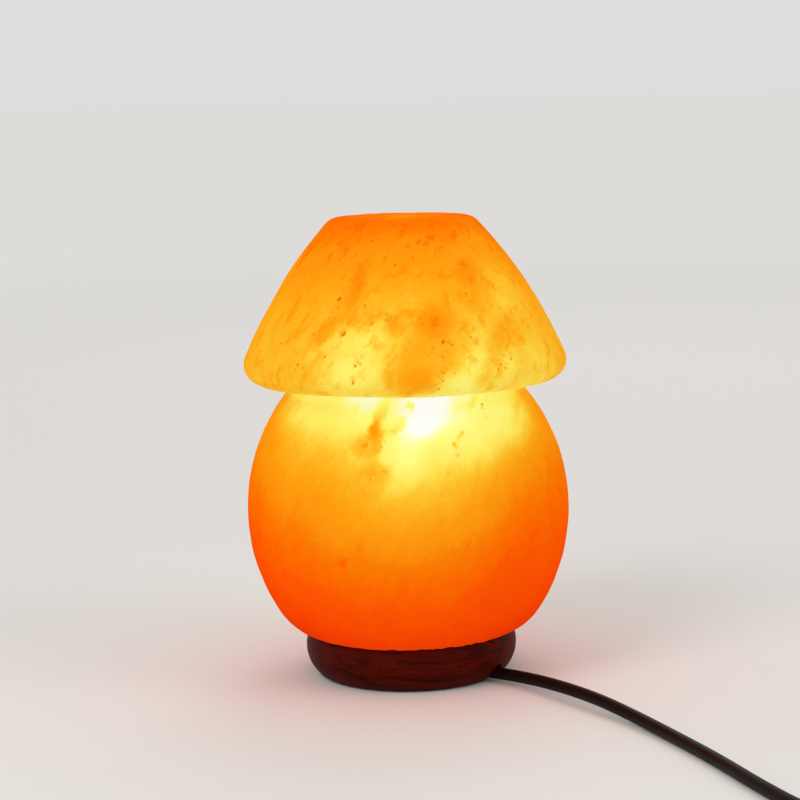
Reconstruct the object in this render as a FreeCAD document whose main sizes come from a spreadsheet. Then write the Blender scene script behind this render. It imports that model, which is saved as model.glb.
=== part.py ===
"""Salt crystal lamp: rock salt turned to a ball under a cone-shaped top, on a turned wooden base.

A lamp holder with a small bulb sits in the blind bore of the salt, gripped by a spring clip. Its cord
leaves through a notch in the foot of the base, runs over the table to an in-line dimmer and ends in a plug.
Millimetres, +Z up. The origin is on the table, under the middle of the base. -Y is the lamp's front.
"""

import FreeCAD, Part
import math
import os
import Sketcher
from FreeCAD import Placement, Rotation, Vector
from types import SimpleNamespace

DRIVING_SIZES = {
    # Rubber pads under the base.
    "pad_stand": 0.6,
    "pad_recess": 1.0,
    "pad_radius": 5.0,
    "pad_margin": 1.3,
    # Wooden base.
    "base_radius": 46.2,
    "base_belly": 12.8,
    "base_side_arc": 15.5,
    "base_top": 19.4,
    "base_top_round": 0.8,
    "base_foot_round": 1.2,
    "base_hole_ease": 1.0,
    "notch_turn": -34.0,
    "notch_width": 7.4,
    "notch_crown": 7.6,
    # Salt block, outside.
    "salt_overhang": 0.3,
    "foot_arc": 25.4,
    "foot_tuck": 4.95,
    "ball_radius": 70.2,
    "ball_rise": 53.8,
    "neck_round": 2.5,
    "rim_height": 129.5,
    "rim_radius": 70.0,
    "rim_round": 8.0,
    "shade_arc": 210.2,
    "crown_radius": 30.8,
    "crown_height": 200.0,
    "crown_round": 8.0,
    # Salt block, inside.
    "bore_radius": 24.0,
    "bore_top": 150.0,
    "bore_bevel": 6.0,
    # Screws that hold the base to the salt, and their wall plugs.
    "screw_radius": 2.0,
    "screw_length": 30.0,
    "screw_head_radius": 4.0,
    "screw_head_height": 2.4,
    "screw_sink": 7.0,
    "screw_tip": 4.0,
    "wall_plug_radius": 4.0,
    "wall_plug_length": 24.0,
    "fit_gap": 0.05,
    "hole_ease": 0.3,
    # Lamp holder. Its cap hangs at a height above the table.
    "cap_foot": 40.0,
    "cap_length": 10.0,
    "cavity_depth": 22.0,
    "holder_floor": 2.0,
    "well_depth": 22.0,
    "holder_radius": 13.0,
    "holder_wall": 2.0,
    "collar_rise": 16.0,
    "collar_height": 4.0,
    "collar_wall": 0.7,
    "shoulder_height": 3.0,
    "ring_nut_height": 4.0,
    "ring_nut_wall": 2.4,
    "thread_gap": 0.3,
    "thread_radius": 6.8,
    "thread_shell_wall": 0.5,
    "thread_shell_height": 18.5,
    "contact_radius": 3.0,
    "contact_stem": 1.5,
    "contact_button": 1.3,
    "contact_gap": 0.3,
    "block_height": 14.0,
    "terminal_offset": 6.0,
    "terminal_head": 2.0,
    "terminal_shank": 1.2,
    "cap_neck_radius": 6.5,
    "cap_neck_length": 6.0,
    "cap_wall": 2.0,
    "spigot_height": 3.0,
    "cord_entry": 8.0,
    "grip_radius": 1.8,
    "lead_radius": 0.9,
    "lead_gap": 0.6,
    # Spring clip.
    "clip_sheet": 0.6,
    "clip_width": 10.0,
    "clip_bow": 12.25,
    "clip_gap": 0.3,
    # Bulb.
    "glass_wall": 0.6,
    "glass_neck": 8.6,
    "glass_radius": 13.0,
    "glass_swell": 15.0,
    "glass_straight": 5.0,
    "bulb_cap_show": 2.0,
    "bulb_cap_skirt": 3.0,
    "bulb_cap_shoulder": 1.2,
    "insulator_height": 2.3,
    "tip_height": 0.5,
    "stem_radius": 3.0,
    "stem_length": 9.0,
    "filament_rise": 7.0,
    "filament_reach": 6.0,
    "filament_radius": 0.4,
    "support_radius": 0.3,
    # Cord.
    "cord_radius": 2.6,
    # In-line dimmer.
    "dimmer_x": 204.0,
    "dimmer_y": -137.0,
    "dimmer_length": 58.0,
    "dimmer_width": 27.0,
    "dimmer_height": 16.0,
    "dimmer_split": 8.0,
    "dimmer_wall": 1.6,
    "dimmer_round": 3.0,
    "relief_length": 18.0,
    "relief_root": 4.0,
    "relief_flange": 1.2,
    "relief_height": 7.0,
    "board_height": 3.0,
    "board_sheet": 1.2,
    "board_gap": 1.9,
    "board_end_room": 12.0,
    "pot_side": 13.0,
    "pot_height": 4.5,
    "triac_width": 9.8,
    "triac_sheet": 4.5,
    "triac_height": 7.2,
    "capacitor_radius": 3.6,
    "capacitor_height": 6.5,
    "part_margin": 2.0,
    "shaft_radius": 3.0,
    "knob_radius": 9.0,
    "knob_ease": 0.4,
    "knob_flange": 1.4,
    "knob_flange_height": 1.4,
    "knob_stand": 2.0,
    "knurl_radius": 0.55,
    "mark_start": 3.2,
    "mark_end": 7.2,
    "case_screw_x": 7.0,
    "case_screw_from_end": 8.5,
    "case_screw_radius": 1.1,
    "case_boss_radius": 2.5,
    # Coil of cord that is put away, and the plug.
    "coil_x": 237.8,
    "coil_y": -50.0,
    "coil_inner_turn": 23.4,
    "coil_bevel": 1.8,
    "plug_x": 270.4,
    "plug_y": -109.0,
    "plug_length": 32.0,
    "plug_width": 24.0,
    "plug_height": 15.0,
    "plug_waist": 17.6,
    "plug_waist_width": 20.6,
    "plug_waist_height": 13.5,
    "plug_heel_width": 15.0,
    "plug_heel_height": 11.0,
    "plug_round": 3.0,
    "plug_axis": 7.5,
    "pin_length": 17.5,
    "pin_width": 6.3,
    "pin_sheet": 1.5,
    "pin_spacing": 12.7,
    "pin_hole": 1.5,
}

SCREW_TURNS = (90.0, 180.0, 270.0)  # degrees past the notch
PAD_TURNS = (45.0, 135.0, 225.0, 315.0)
KNURLS = 24
COIL_COLUMNS = 3
COIL_LAYERS = 3

# Centre line of the cord from the lamp holder to the dimmer, chosen by hand.
LAMP_CORD_ROUTE = (
    (0.0, 0.0, 48.0),
    (0.0, 0.0, 30.0),
    (6.6, -4.5, 15.0),
    (18.0, -12.1, 4.8),
    (32.2, -21.9, 3.5),
    (45.2, -31.8, 3.9),
    (60.3, -51.6, 4.9),
    (75.2, -75.2, 5.1),
    (88.3, -97.4, 3.5),
    (101.0, -125.0, 2.6),
    (113.0, -156.0, 2.6),
    (124.0, -190.0, 2.6),
    (134.5, -217.0, 2.6),
    (149.0, -238.0, 2.6),
    (172.0, -245.0, 2.6),
    (194.0, -234.0, 2.6),
    (202.8, -213.0, 3.0),
    (204.0, -197.0, 7.0),
    (204.0, -184.0, 7.0),
)
# From the dimmer to the coil, and from the coil to the plug.
LINK_CORD_ROUTE = (
    (204.0, -90.0, 7.0),
    (204.0, -79.0, 7.0),
    (203.6, -67.0, 3.3),
    (203.9, -57.0, 2.6),
)
PLUG_CORD_ROUTE = (
    (271.6, -57.0, 13.0),
    (271.4, -66.0, 12.6),
    (270.4, -79.5, 7.5),
    (270.4, -91.0, 7.5),
)


class Size:
    """A size with the formula on the sheet that gives it."""

    def __init__(self, formula, value):
        self.formula = formula
        self.value = value

    def __add__(self, other):
        return join(self, other, "+", self.value + number(other))

    def __radd__(self, other):
        return join(other, self, "+", number(other) + self.value)

    def __sub__(self, other):
        return join(self, other, "-", self.value - number(other))

    def __rsub__(self, other):
        return join(other, self, "-", number(other) - self.value)

    def __mul__(self, other):
        return join(self, other, "*", self.value * number(other))

    def __rmul__(self, other):
        return join(other, self, "*", number(other) * self.value)

    def __truediv__(self, other):
        return join(self, other, "/", self.value / number(other))


def number(size):
    """The plain number of a size or of a number."""
    return size.value if isinstance(size, Size) else float(size)


def formula(size):
    """The sheet formula of a size or of a number."""
    return size.formula if isinstance(size, Size) else f"({float(size)!r})"


def join(left, right, sign, value):
    """The size that two others make with an arithmetic sign."""
    return Size(f"({formula(left)} {sign} {formula(right)})", value)


def root(size):
    """The square root of a size."""
    return Size(f"sqrt({formula(size)})", math.sqrt(number(size)))


def cosine(turn):
    """The cosine of an angle in degrees."""
    return Size(f"cos({formula(turn)} * 1 deg)", math.cos(math.radians(number(turn))))


def sine(turn):
    """The sine of an angle in degrees."""
    return Size(f"sin({formula(turn)} * 1 deg)", math.sin(math.radians(number(turn))))


doc = FreeCAD.newDocument("SaltLamp")
sheet = doc.addObject("Spreadsheet::Sheet", "Sizes")
for line, (alias, value) in enumerate(DRIVING_SIZES.items(), start=1):
    sheet.set(f"A{line}", alias.replace("_", " "))
    sheet.set(f"B{line}", str(value))
    sheet.setAlias(f"B{line}", alias)
doc.recompute()
S = SimpleNamespace(**{alias: Size(f"Sizes.{alias}", sheet.get(alias)) for alias in DRIVING_SIZES})



def follows(**sizes):
    """Puts sizes that follow from others on the sheet, each under a name of its own."""
    for alias, size in sizes.items():
        line = len(vars(S)) + 1
        sheet.set(f"A{line}", alias.replace("_", " "))
        sheet.set(f"B{line}", "=" + size.formula.replace("Sizes.", ""))
        sheet.setAlias(f"B{line}", alias)
        setattr(S, alias, Size(f"Sizes.{alias}", size.value))


def reach(radius, height):
    """How far an arc stands out from its centre at a height above or below it."""
    return root(radius * radius - height * height)


follows(
    base_edge=S.base_radius - S.base_side_arc + reach(S.base_side_arc, S.base_top - S.base_belly),
    base_top_middle=S.base_radius
    - S.base_side_arc
    + reach(S.base_side_arc - S.base_top_round, S.base_top - S.base_top_round - S.base_belly),
    base_foot_middle=S.base_radius
    - S.base_side_arc
    + reach(S.base_side_arc - S.base_foot_round, S.base_belly - S.pad_stand - S.base_foot_round),
    coil_outer_turn=S.coil_inner_turn + S.cord_radius * 2 * (COIL_COLUMNS - 1),
    coil_height=S.cord_radius * 2 * COIL_LAYERS,
    ball_middle=S.base_top + S.ball_rise,
    holder_foot=S.cap_foot + S.cap_length,
    holder_cavity=S.holder_radius - S.holder_wall,
    board_width=S.dimmer_width - (S.dimmer_wall + S.board_gap) * 2,
    board_length=S.dimmer_length - S.board_end_room * 2,
    case_screw_y=S.dimmer_length / 2 - S.case_screw_from_end,
)
follows(
    fixing_circle=S.base_foot_middle - S.pad_radius - S.pad_margin,
    seat_radius=S.base_edge + S.salt_overhang,
    well_floor=S.holder_foot + S.cavity_depth,
    collar_foot=S.holder_foot + S.collar_rise,
)
follows(
    ball_bulge=S.ball_radius - S.seat_radius - S.foot_tuck,
    holder_seat=S.well_floor + S.holder_floor,
)
follows(
    ball_arc=(S.ball_bulge * S.ball_bulge + S.ball_rise * S.ball_rise) / (S.ball_bulge * 2),
    holder_rim=S.holder_seat + S.well_depth,
)
follows(
    neck_middle=S.ball_radius
    - S.ball_arc
    + reach(S.ball_arc + S.neck_round, S.rim_height - S.neck_round - S.ball_middle),
    bulb_cap_top=S.holder_rim + S.bulb_cap_show,
)
follows(
    glass_shoulder=S.bulb_cap_top + S.glass_swell,
    glass_dome=S.bulb_cap_top + S.glass_swell + S.glass_straight,
    stem_top=S.bulb_cap_top + S.stem_length,
    filament_height=S.bulb_cap_top + S.stem_length + S.filament_rise,
)
doc.recompute()

nodes = {}


def keep(made, label):
    """Marks an object as a finished piece of the lamp."""
    made.Label = label
    nodes[label] = made
    return made


def bind(target, **sizes):
    """Ties properties of an object to the sheet. Two underscores in a name stand for a dot."""
    for name, size in sizes.items():
        target.setExpression(name.replace("__", "."), formula(size))


def put(target, x=0.0, y=0.0, z=0.0, rotation=None):
    """Places an object at a point that follows the sheet."""
    target.Placement = Placement(Vector(number(x), number(y), number(z)), rotation or Rotation())
    bind(target, Placement__Base__x=x, Placement__Base__y=y, Placement__Base__z=z)
    return target


class Outline:
    """A closed line in a sketch, drawn edge by edge, with each corner tied to the sheet."""

    def __init__(self, sketch, x, y):
        self.sketch = sketch
        self.start = (x, y)
        self.here = Vector(number(x), number(y), 0)
        self.edges = []

    def _datum(self, kind, edge, corner, size):
        """Ties one coordinate of a corner to a size. Zero puts it on the axis."""
        if size is None:
            return
        if number(size) == 0 and not isinstance(size, Size):
            axis = -2 if kind == "DistanceX" else -1
            self.sketch.addConstraint(Sketcher.Constraint("PointOnObject", edge, corner, axis))
            return
        tie = Sketcher.Constraint(kind, -1, 1, edge, corner, number(size))
        index = self.sketch.addConstraint(tie)
        self.sketch.setExpression(f"Constraints[{index}]", formula(size))

    def _add(self, geometry, first, last, x, y, target, smooth):
        """Adds one edge and ties it to the edge before and to its own end."""
        edge = self.sketch.addGeometry(geometry, False)
        if self.edges:
            before, end = self.edges[-1][0], self.edges[-1][2]
            kind = "Tangent" if smooth else "Coincident"
            self.sketch.addConstraint(Sketcher.Constraint(kind, before, end, edge, first))
        else:
            self._datum("DistanceX", edge, first, self.start[0])
            self._datum("DistanceY", edge, first, self.start[1])
        self.edges.append((edge, first, last))
        self._datum("DistanceX", edge, last, x)
        self._datum("DistanceY", edge, last, y)
        self.here = target
        return edge

    def line(self, x, y):
        """A straight edge to a point."""
        target = Vector(number(x), number(y), 0)
        self._add(Part.LineSegment(self.here, target), 1, 2, x, y, target, False)
        return self

    def arc(self, radius, x=None, y=None, left=True, guess=None, centre=None, smooth=False):
        """A round edge to a point. left is True where its centre lies on the left of the way along it."""
        known = guess or (number(x), number(y))
        target = Vector(known[0], known[1], 0)
        chord = target - self.here
        half = chord.Length / 2
        side = Vector(-chord.y, chord.x, 0).normalize() * (1 if left else -1)
        middle = self.here + chord / 2 + side * math.sqrt(max(number(radius) ** 2 - half**2, 0))
        begin, end = (self.here, target) if left else (target, self.here)
        angles = [math.atan2(p.y - middle.y, p.x - middle.x) for p in (begin, end)]
        circle = Part.Circle(middle, Vector(0, 0, 1), number(radius))
        first, last = (1, 2) if left else (2, 1)
        curve = Part.ArcOfCircle(circle, *angles)
        edge = self._add(curve, first, last, x, y, target, smooth)
        if chord.Length < 1.999 * number(radius):  # a half circle has its radius from its two ends
            index = self.sketch.addConstraint(Sketcher.Constraint("Radius", edge, number(radius)))
            self.sketch.setExpression(f"Constraints[{index}]", formula(radius))
        if centre:
            self._datum("DistanceX", edge, 3, centre[0])
            self._datum("DistanceY", edge, 3, centre[1])
        return self

    def close(self):
        """The straight edge back to the start."""
        start = Vector(number(self.start[0]), number(self.start[1]), 0)
        self._add(Part.LineSegment(self.here, start), 1, 2, None, None, start, False)
        first, last = self.edges[0], self.edges[-1]
        tie = Sketcher.Constraint("Coincident", last[0], last[2], first[0], first[1])
        self.sketch.addConstraint(tie)


def new_body(name):
    """An empty body."""
    body = doc.addObject("PartDesign::Body", name)
    body.Label = name
    return body


def new_sketch(body, name, role, height=0.0, turn=None):
    """A sketch on one of the body's origin planes, lifted by a height or turned about the lamp's axis."""
    sketch = body.newObject("Sketcher::SketchObject", name)
    plane = next(f for f in body.Origin.OriginFeatures if f.Role == role)
    sketch.AttachmentSupport = [(plane, "")]
    sketch.MapMode = "FlatFace"
    if role == "XY_Plane":
        sketch.AttachmentOffset = Placement(Vector(0, 0, number(height)), Rotation())
        sketch.setExpression("AttachmentOffset.Base.z", formula(height))
    if turn is not None:
        sketch.AttachmentOffset = Placement(Vector(), Rotation(Vector(0, 1, 0), number(turn)))
        sketch.setExpression("AttachmentOffset.Rotation.Angle", formula(turn))
    return sketch


def draw_circle(sketch, x, y, radius):
    """A circle in a sketch, tied to the sheet."""
    circle = Part.Circle(Vector(number(x), number(y), 0), Vector(0, 0, 1), number(radius))
    edge = sketch.addGeometry(circle, False)
    index = sketch.addConstraint(Sketcher.Constraint("Radius", edge, number(radius)))
    sketch.setExpression(f"Constraints[{index}]", formula(radius))
    for kind, size in (("DistanceX", x), ("DistanceY", y)):
        if isinstance(size, Size):
            index = sketch.addConstraint(Sketcher.Constraint(kind, -1, 1, edge, 3, size.value))
            sketch.setExpression(f"Constraints[{index}]", size.formula)
        else:
            axis = -2 if kind == "DistanceX" else -1
            sketch.addConstraint(Sketcher.Constraint("PointOnObject", edge, 3, axis))


def revolve(body, sketch, kind="Revolution"):
    """Turns a sketch once round its own upright axis."""
    feature = body.newObject(f"PartDesign::{kind}", f"{body.Name}_{kind}")
    feature.Profile = sketch
    feature.ReferenceAxis = (sketch, ["V_Axis"])
    feature.Angle = 360
    return feature


def turned(name, outline):
    """A body turned from one outline. outline is a function that draws it in a sketch."""
    body = new_body(name)
    sketch = new_sketch(body, f"{name}_outline", "XZ_Plane")
    outline(sketch)
    revolve(body, sketch)
    return body


def pad(body, sketch, length, midplane=False, reverse=False):
    """Raises a sketch to a length."""
    feature = body.newObject("PartDesign::Pad", f"{sketch.Name}_pad")
    feature.Profile = sketch
    feature.Length = number(length)
    feature.setExpression("Length", formula(length))
    feature.Midplane = midplane
    feature.Reversed = reverse
    return feature


def pocket(body, sketch, length, up=True, midplane=False):
    """Cuts a sketch into the body, and makes sure that it cut something."""
    doc.recompute()
    before = body.Shape.Volume
    feature = body.newObject("PartDesign::Pocket", f"{sketch.Name}_cut")
    feature.Profile = sketch
    feature.Length = number(length)
    feature.setExpression("Length", formula(length))
    feature.Midplane = midplane
    feature.Reversed = up
    doc.recompute()
    if not body.Shape.Volume < before - 0.01:
        raise RuntimeError(f"{feature.Name} cuts nothing")
    return feature


def around(body, originals, count, angle):
    """Repeats features round the body's upright axis."""
    feature = body.newObject("PartDesign::PolarPattern", f"{originals[0].Name}_round")
    feature.Originals = originals
    axis = next(f for f in body.Origin.OriginFeatures if f.Role == "Z_Axis")
    feature.Axis = (axis, [""])
    feature.Angle = angle
    feature.Occurrences = count
    body.Tip = feature
    return feature


def rounded(body, radius, chosen):
    """Rounds the edges of the body that a test on an edge picks."""
    doc.recompute()
    base = body.Tip
    names = [f"Edge{i}" for i, edge in enumerate(base.Shape.Edges, start=1) if chosen(edge)]
    if not names:
        raise RuntimeError(f"{body.Name} has no edge to round")
    feature = body.newObject("PartDesign::Fillet", f"{body.Name}_round{len(body.Group)}")
    feature.Base = (base, names)
    feature.Radius = number(radius)
    feature.setExpression("Radius", formula(radius))
    return feature


def ring_edge(height, radius):
    """A test that picks the round edge of that height and radius."""

    def chosen(edge):
        round_edge = isinstance(edge.Curve, Part.Circle)
        return (
            round_edge
            and abs(edge.Curve.Center.z - number(height)) < 0.01
            and abs(edge.Curve.Radius - number(radius)) < 0.02
        )

    return chosen


def solid(kind, name, x=0.0, y=0.0, z=0.0, rotation=None, **sizes):
    """A primitive with its sizes tied to the sheet, at a point that follows it."""
    made = doc.addObject(f"Part::{kind}", name)
    bind(made, **sizes)
    return put(made, x, y, z, rotation)


def less(name, base, *tools):
    """base with tools cut out of it."""
    for count, tool in enumerate(tools):
        cut = doc.addObject("Part::Cut", f"{name}_{count}" if count + 1 < len(tools) else name)
        cut.Base = base
        cut.Tool = tool
        base = cut
    return base


def group(label, pieces):
    """Identical or paired pieces in one node, each a solid of its own."""
    made = doc.addObject("Part::Compound", label)
    made.Links = pieces
    return keep(made, label)


def on_circle(radius, turn):
    """The two coordinates of a point on a circle round the lamp's axis."""
    return radius * cosine(turn), radius * sine(turn)


# ---------------------------------------------------------------- salt block


def touch(middle, radius, point, other, above):
    """Where an arc through a point, with a radius of its own, goes smoothly into a circle.

    Its centre is as far from the circle's as the two radii differ. above picks the higher of the two ways.
    """
    apart = abs(other - radius)
    gap = point - middle
    along = (apart**2 - other**2 + gap.Length**2) / (2 * gap.Length)
    off = math.sqrt(max(apart**2 - along**2, 0))
    unit = Vector(gap).normalize()
    side = Vector(-unit.y, unit.x, 0)
    ways = [middle + unit * along + side * off, middle + unit * along - side * off]
    centre = max(ways, key=lambda p: p.y) if above else min(ways, key=lambda p: p.y)
    away = (centre - middle).normalize() * (radius if radius > other else -radius)
    return middle + away


def towards(start, end, length):
    """The point at a length from start, on the way to end."""
    return start + Vector(end - start).normalize() * length


def salt_outline(sketch):
    """The turned outline: flat seat, ball, neck, rolled rim, domed cone and flat crown."""
    ball = Vector((S.ball_radius - S.ball_arc).value, S.ball_middle.value, 0)
    seat = Vector(S.seat_radius.value, S.base_top.value, 0)
    ball_foot = touch(ball, S.ball_arc.value, seat, S.foot_arc.value, True)
    rim = Vector((S.rim_radius - S.rim_round).value, (S.rim_height + S.rim_round).value, 0)
    crown = Vector(S.crown_radius.value, S.crown_height.value, 0)
    rim_side = touch(rim, S.rim_round.value, crown, S.shade_arc.value, False)
    neck = Vector(S.neck_middle.value, (S.rim_height - S.neck_round).value, 0)
    ball_top = towards(ball, neck, S.ball_arc.value)
    line = Outline(sketch, 0.0, S.base_top)
    line.line(S.seat_radius, S.base_top)
    line.arc(S.foot_arc, guess=(ball_foot.x, ball_foot.y))
    line.arc(
        S.ball_arc,
        guess=(ball_top.x, ball_top.y),
        centre=(S.ball_radius - S.ball_arc, S.ball_middle),
        smooth=True,
    )
    line.arc(S.neck_round, S.neck_middle, S.rim_height, left=False, smooth=True)
    line.line(S.rim_radius - S.rim_round, S.rim_height)
    line.arc(
        S.rim_round,
        guess=(rim_side.x, rim_side.y),
        centre=(S.rim_radius - S.rim_round, None),
    )
    line.arc(S.shade_arc, S.crown_radius, S.crown_height, smooth=True)
    line.line(0.0, S.crown_height)
    line.close()


def make_salt_block():
    """The salt, with its blind bore from below and the holes for the wall plugs."""
    body = turned("salt_block", salt_outline)
    rounded(body, S.crown_round, ring_edge(S.crown_height, S.crown_radius))
    bore = new_sketch(body, "salt_bore", "XZ_Plane")
    line = Outline(bore, 0.0, S.base_top)
    line.line(S.bore_radius, S.base_top)
    line.line(S.bore_radius, S.bore_top - S.bore_bevel)
    line.line(S.bore_radius - S.bore_bevel, S.bore_top)
    line.line(0.0, S.bore_top)
    line.close()
    revolve(body, bore, "Groove")
    holes = new_sketch(body, "salt_plug_hole", "XY_Plane", S.base_top)
    x, y = on_circle(S.fixing_circle, S.notch_turn + SCREW_TURNS[0])
    draw_circle(holes, x, y, S.wall_plug_radius + S.fit_gap)
    hole = pocket(body, holes, S.wall_plug_length + S.hole_ease)
    around(body, [hole], len(SCREW_TURNS), SCREW_TURNS[-1] - SCREW_TURNS[0])
    return keep(body, "salt_block")


# ---------------------------------------------------------------- wooden base and what fixes it


def base_outline(sketch):
    """The turned ring: a crowned side with round edges, between a flat seat and a flat foot."""
    hole = S.bore_radius + S.base_hole_ease
    side = Vector((S.base_radius - S.base_side_arc).value, S.base_belly.value, 0)
    foot_turn = Vector(S.base_foot_middle.value, (S.pad_stand + S.base_foot_round).value, 0)
    top_turn = Vector(S.base_top_middle.value, (S.base_top - S.base_top_round).value, 0)
    foot = towards(side, foot_turn, S.base_side_arc.value)
    top = towards(side, top_turn, S.base_side_arc.value)
    line = Outline(sketch, hole, S.pad_stand)
    line.line(S.base_foot_middle, S.pad_stand)
    line.arc(S.base_foot_round, guess=(foot.x, foot.y))
    line.arc(
        S.base_side_arc,
        guess=(top.x, top.y),
        centre=(S.base_radius - S.base_side_arc, S.base_belly),
        smooth=True,
    )
    line.arc(S.base_top_round, S.base_top_middle, S.base_top, smooth=True)
    line.line(hole, S.base_top)
    line.close()


def make_wooden_base():
    """The base: ring, cord notch open at the foot, sunk screw holes and pad recesses."""
    body = turned("wooden_base", base_outline)
    notch = new_sketch(body, "base_notch", "YZ_Plane", turn=S.notch_turn)
    half = S.notch_width / 2
    line = Outline(notch, half, 0.0)
    line.line(half, S.notch_crown - half)
    line.arc(half, half * -1, S.notch_crown - half, centre=(None, S.notch_crown - half))
    line.line(half * -1, 0.0)
    line.close()
    pocket(body, notch, S.base_radius + S.base_hole_ease, up=True)
    x, y = on_circle(S.fixing_circle, S.notch_turn + SCREW_TURNS[0])
    sink = new_sketch(body, "base_screw_sink", "XY_Plane", S.pad_stand)
    draw_circle(sink, x, y, S.screw_head_radius + S.hole_ease)
    sunk = pocket(body, sink, S.screw_sink)
    clear = new_sketch(body, "base_screw_hole", "XY_Plane", S.pad_stand)
    draw_circle(clear, x, y, S.screw_radius + S.hole_ease)
    through = pocket(body, clear, S.base_top)
    around(body, [sunk, through], len(SCREW_TURNS), SCREW_TURNS[-1] - SCREW_TURNS[0])
    recess = new_sketch(body, "base_pad_recess", "XY_Plane", S.pad_stand)
    x, y = on_circle(S.fixing_circle, S.notch_turn + PAD_TURNS[0])
    draw_circle(recess, x, y, S.pad_radius + S.fit_gap)
    cut = pocket(body, recess, S.pad_recess)
    around(body, [cut], len(PAD_TURNS), 360)
    return keep(body, "wooden_base")


def make_fixings():
    """Wood screws, their wall plugs in the salt, and the pads under the base."""
    screws, plugs = [], []
    seat = S.pad_stand + S.screw_sink
    for count, turn in enumerate(SCREW_TURNS):
        x, y = on_circle(S.fixing_circle, S.notch_turn + turn)
        head = solid(
            "Cylinder",
            f"screw_head_{count}",
            x,
            y,
            seat - S.screw_head_height,
            Radius=S.screw_head_radius,
            Height=S.screw_head_height,
        )
        straight = S.screw_length - S.screw_tip
        shank = solid(
            "Cylinder",
            f"screw_shank_{count}",
            x,
            y,
            seat,
            Radius=S.screw_radius,
            Height=straight,
        )
        tip = solid(
            "Cone",
            f"screw_tip_{count}",
            x,
            y,
            seat + straight,
            Radius1=S.screw_radius,
            Height=S.screw_tip,
        )
        tip.Radius2 = 0
        screw = doc.addObject("Part::MultiFuse", f"screw_{count}")
        screw.Shapes = [head, shank, tip]
        screws.append(screw)
        plug = solid(
            "Cylinder",
            f"plug_outer_{count}",
            x,
            y,
            S.base_top,
            Radius=S.wall_plug_radius,
            Height=S.wall_plug_length,
        )
        hole = solid(
            "Cylinder",
            f"plug_hole_{count}",
            x,
            y,
            S.base_top,
            Radius=S.screw_radius + S.fit_gap,
            Height=S.wall_plug_length,
        )
        plugs.append(less(f"wall_plug_{count}", plug, hole))
    group("base_screws", screws)
    group("wall_plugs", plugs)
    pads = []
    for count, turn in enumerate(PAD_TURNS):
        x, y = on_circle(S.fixing_circle, S.notch_turn + turn)
        height = S.pad_stand + S.pad_recess
        pads.append(solid("Cylinder", f"foot_pad_{count}", x, y, Radius=S.pad_radius, Height=height))
    group("foot_pads", pads)


# ---------------------------------------------------------------- lamp holder


def holder_outline(sketch):
    """The holder's moulding: a wide cavity below, a floor, and the well for the thread shell above."""
    well = S.thread_radius + S.thread_gap + S.thread_shell_wall + S.fit_gap
    shoulder = S.holder_radius + S.collar_wall
    line = Outline(sketch, S.holder_cavity, S.holder_foot)
    line.line(S.holder_radius, S.holder_foot)
    line.line(S.holder_radius, S.collar_foot - S.shoulder_height)
    line.line(shoulder, S.collar_foot - S.shoulder_height)
    line.line(shoulder, S.collar_foot)
    line.line(S.holder_radius, S.collar_foot)
    line.line(S.holder_radius, S.holder_rim)
    line.line(well, S.holder_rim)
    line.line(well, S.holder_seat)
    line.line(S.contact_radius + S.hole_ease, S.holder_seat)
    line.line(S.contact_radius + S.hole_ease, S.well_floor)
    line.line(S.holder_cavity, S.well_floor)
    line.close()


def cap_outline(sketch):
    """The screwed cap under the holder: a spigot in the cavity, a cone, and the neck round the cord."""
    bore = S.cord_radius + S.fit_gap * 2
    spigot = S.holder_cavity - S.fit_gap
    line = Outline(sketch, bore, S.cap_foot)
    line.line(S.cap_neck_radius, S.cap_foot)
    line.line(S.cap_neck_radius, S.cap_foot + S.cap_neck_length)
    line.line(S.holder_radius, S.holder_foot)
    line.line(spigot, S.holder_foot)
    line.line(spigot, S.holder_foot + S.spigot_height)
    line.line(spigot - S.cap_wall, S.holder_foot + S.spigot_height)
    line.line(spigot - S.cap_wall, S.holder_foot)
    line.line(bore, S.cap_foot + S.cap_neck_length)
    line.close()


def ring(name, inner, outer, foot, height):
    """A plain turned ring."""

    def outline(sketch):
        line = Outline(sketch, inner, foot)
        line.line(outer, foot)
        line.line(outer, foot + height)
        line.line(inner, foot + height)
        line.close()

    return keep(turned(name, outline), name)


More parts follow.
